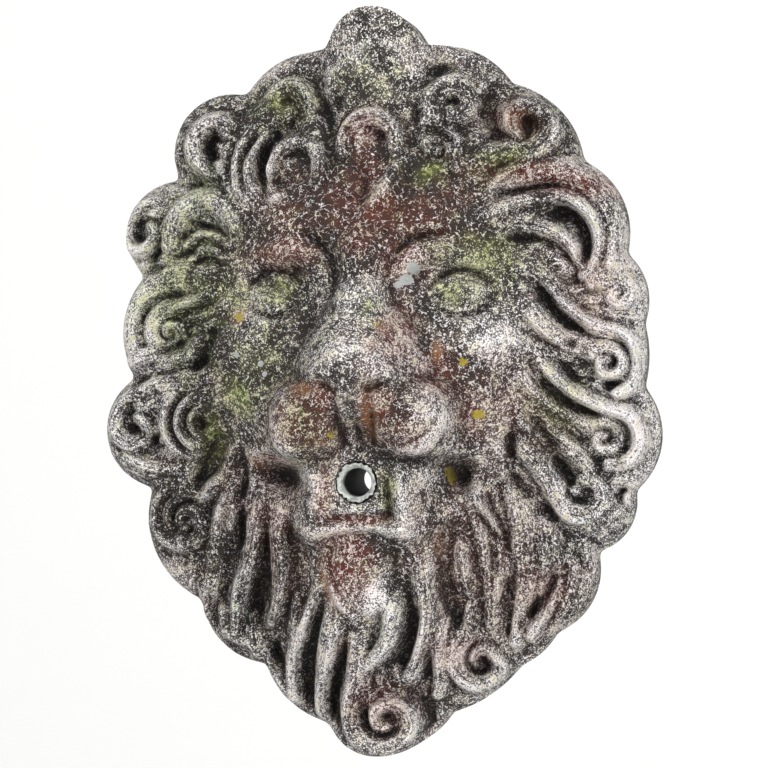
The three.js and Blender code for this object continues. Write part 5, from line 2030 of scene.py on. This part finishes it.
@dataclass
class Studio:
    """Pale floor and backdrop, soft lamps and the camera at the photograph's angle, in metres."""

    distance: float = 2.2
    azimuth: float = 10
    target: tuple[float, float, float] = (0, -0.06, 0)
    focal_px: float = 3238.7
    centre_px: Pair = (369.5, 383.0)
    image_px: float = 768
    sensor_mm: float = 36
    sky: float = 0.65
    floor_level: float = -0.75
    floor_front: float = -3.5
    floor_side: float = 4.0
    wall_at: float = 1.6
    wall_top: float = 3.0
    bend: float = 0.6

    def build(self) -> None:
        """Sets up the whole studio."""
        self.sweep()
        self.lamp("key", (-0.8, -1.7, 1.6), 1.8, 28)
        self.lamp("fill", (1.5, -1.8, 0.5), 1.8, 26)
        self.lamp("lift", (0.0, -1.9, -1.1), 1.6, 8)
        world = bpy.data.worlds.new("studio")
        world.use_nodes = True
        background = world.node_tree.nodes["Background"]
        background.inputs["Color"].default_value = (1, 1, 1, 1)
        background.inputs["Strength"].default_value = self.sky
        bpy.context.scene.world = world
        bpy.context.scene.view_settings.view_transform = "Standard"
        self.camera()

    def sweep(self) -> None:
        """A pale floor that runs up into a backdrop."""
        start, bend = self.wall_at - self.bend, self.bend
        line = [(self.floor_front, 0.0), (start, 0.0)]
        for angle in np.linspace(0.2, math.pi / 2, 8):
            line.append((start + bend * math.sin(angle), bend - bend * math.cos(angle)))
        line.append((self.wall_at, self.wall_top))
        points = [(x, y, z + self.floor_level) for y, z in line for x in (-self.floor_side, self.floor_side)]
        faces = [(2 * i, 2 * i + 1, 2 * i + 3, 2 * i + 2) for i in range(len(line) - 1)]
        floor = mesh_object("floor", np.array(points) / MM, faces)
        floor.data.polygons.foreach_set("use_smooth", np.ones(len(floor.data.polygons), bool))
        paper = bpy.data.materials.new("white_paper")
        paper.use_nodes = True
        shader = paper.node_tree.nodes["Principled BSDF"]
        shader.inputs["Base Color"].default_value = linear("#fbfbfa")
        shader.inputs["Roughness"].default_value = 0.9
        floor.data.materials.append(paper)

    def lamp(self, name: str, place: tuple[float, float, float], size: float, power: float) -> None:
        """A square soft lamp that faces the mask.

        Args:
            name: its name.
            place: where it stands, in metres.
            size: length of its sides.
            power: in watts.
        """
        light = bpy.data.lights.new(name, "AREA")
        light.size = size
        light.energy = power
        lamp = placed(name, light)
        lamp.location = place
        lamp.rotation_euler = (Vector(self.target) - Vector(place)).to_track_quat("-Z", "Y").to_euler()

    def camera(self) -> None:
        """The camera, level with the middle of the mask and a little to its right."""
        data = bpy.data.cameras.new("camera")
        data.sensor_width = self.sensor_mm
        data.lens = self.focal_px / self.image_px * self.sensor_mm
        data.shift_x = (self.image_px / 2 - self.centre_px[0]) / self.image_px
        data.shift_y = (self.centre_px[1] - self.image_px / 2) / self.image_px
        camera = placed("camera", data)
        turn = math.radians(self.azimuth)
        away = Vector((math.sin(turn), -math.cos(turn), 0)) * self.distance
        camera.location = Vector(self.target) + away
        camera.rotation_euler = (-away).to_track_quat("-Z", "Y").to_euler()
        bpy.context.scene.camera = camera


def main() -> None:
    """Builds the fountain, dresses it and sets up the studio."""
    logging.basicConfig(level=logging.INFO, format="%(message)s")
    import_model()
    mask = LionMask(Relief(), SpoutSeat()).build()
    mask.data.materials.append(WeatheredCastStone().material())
    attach(mask, "root")
    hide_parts("lion_mask")
    log.info("mask: %d faces", len(mask.data.polygons))
    pipe = SpoutPipe().build()
    pipe.data.materials.append(OxidisedLead().material())
    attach(pipe, "root")
    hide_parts("spout_pipe")
    log.info("pipe: %d faces", len(pipe.data.polygons))
    Studio().build()


if __name__ == "__main__":
    main()
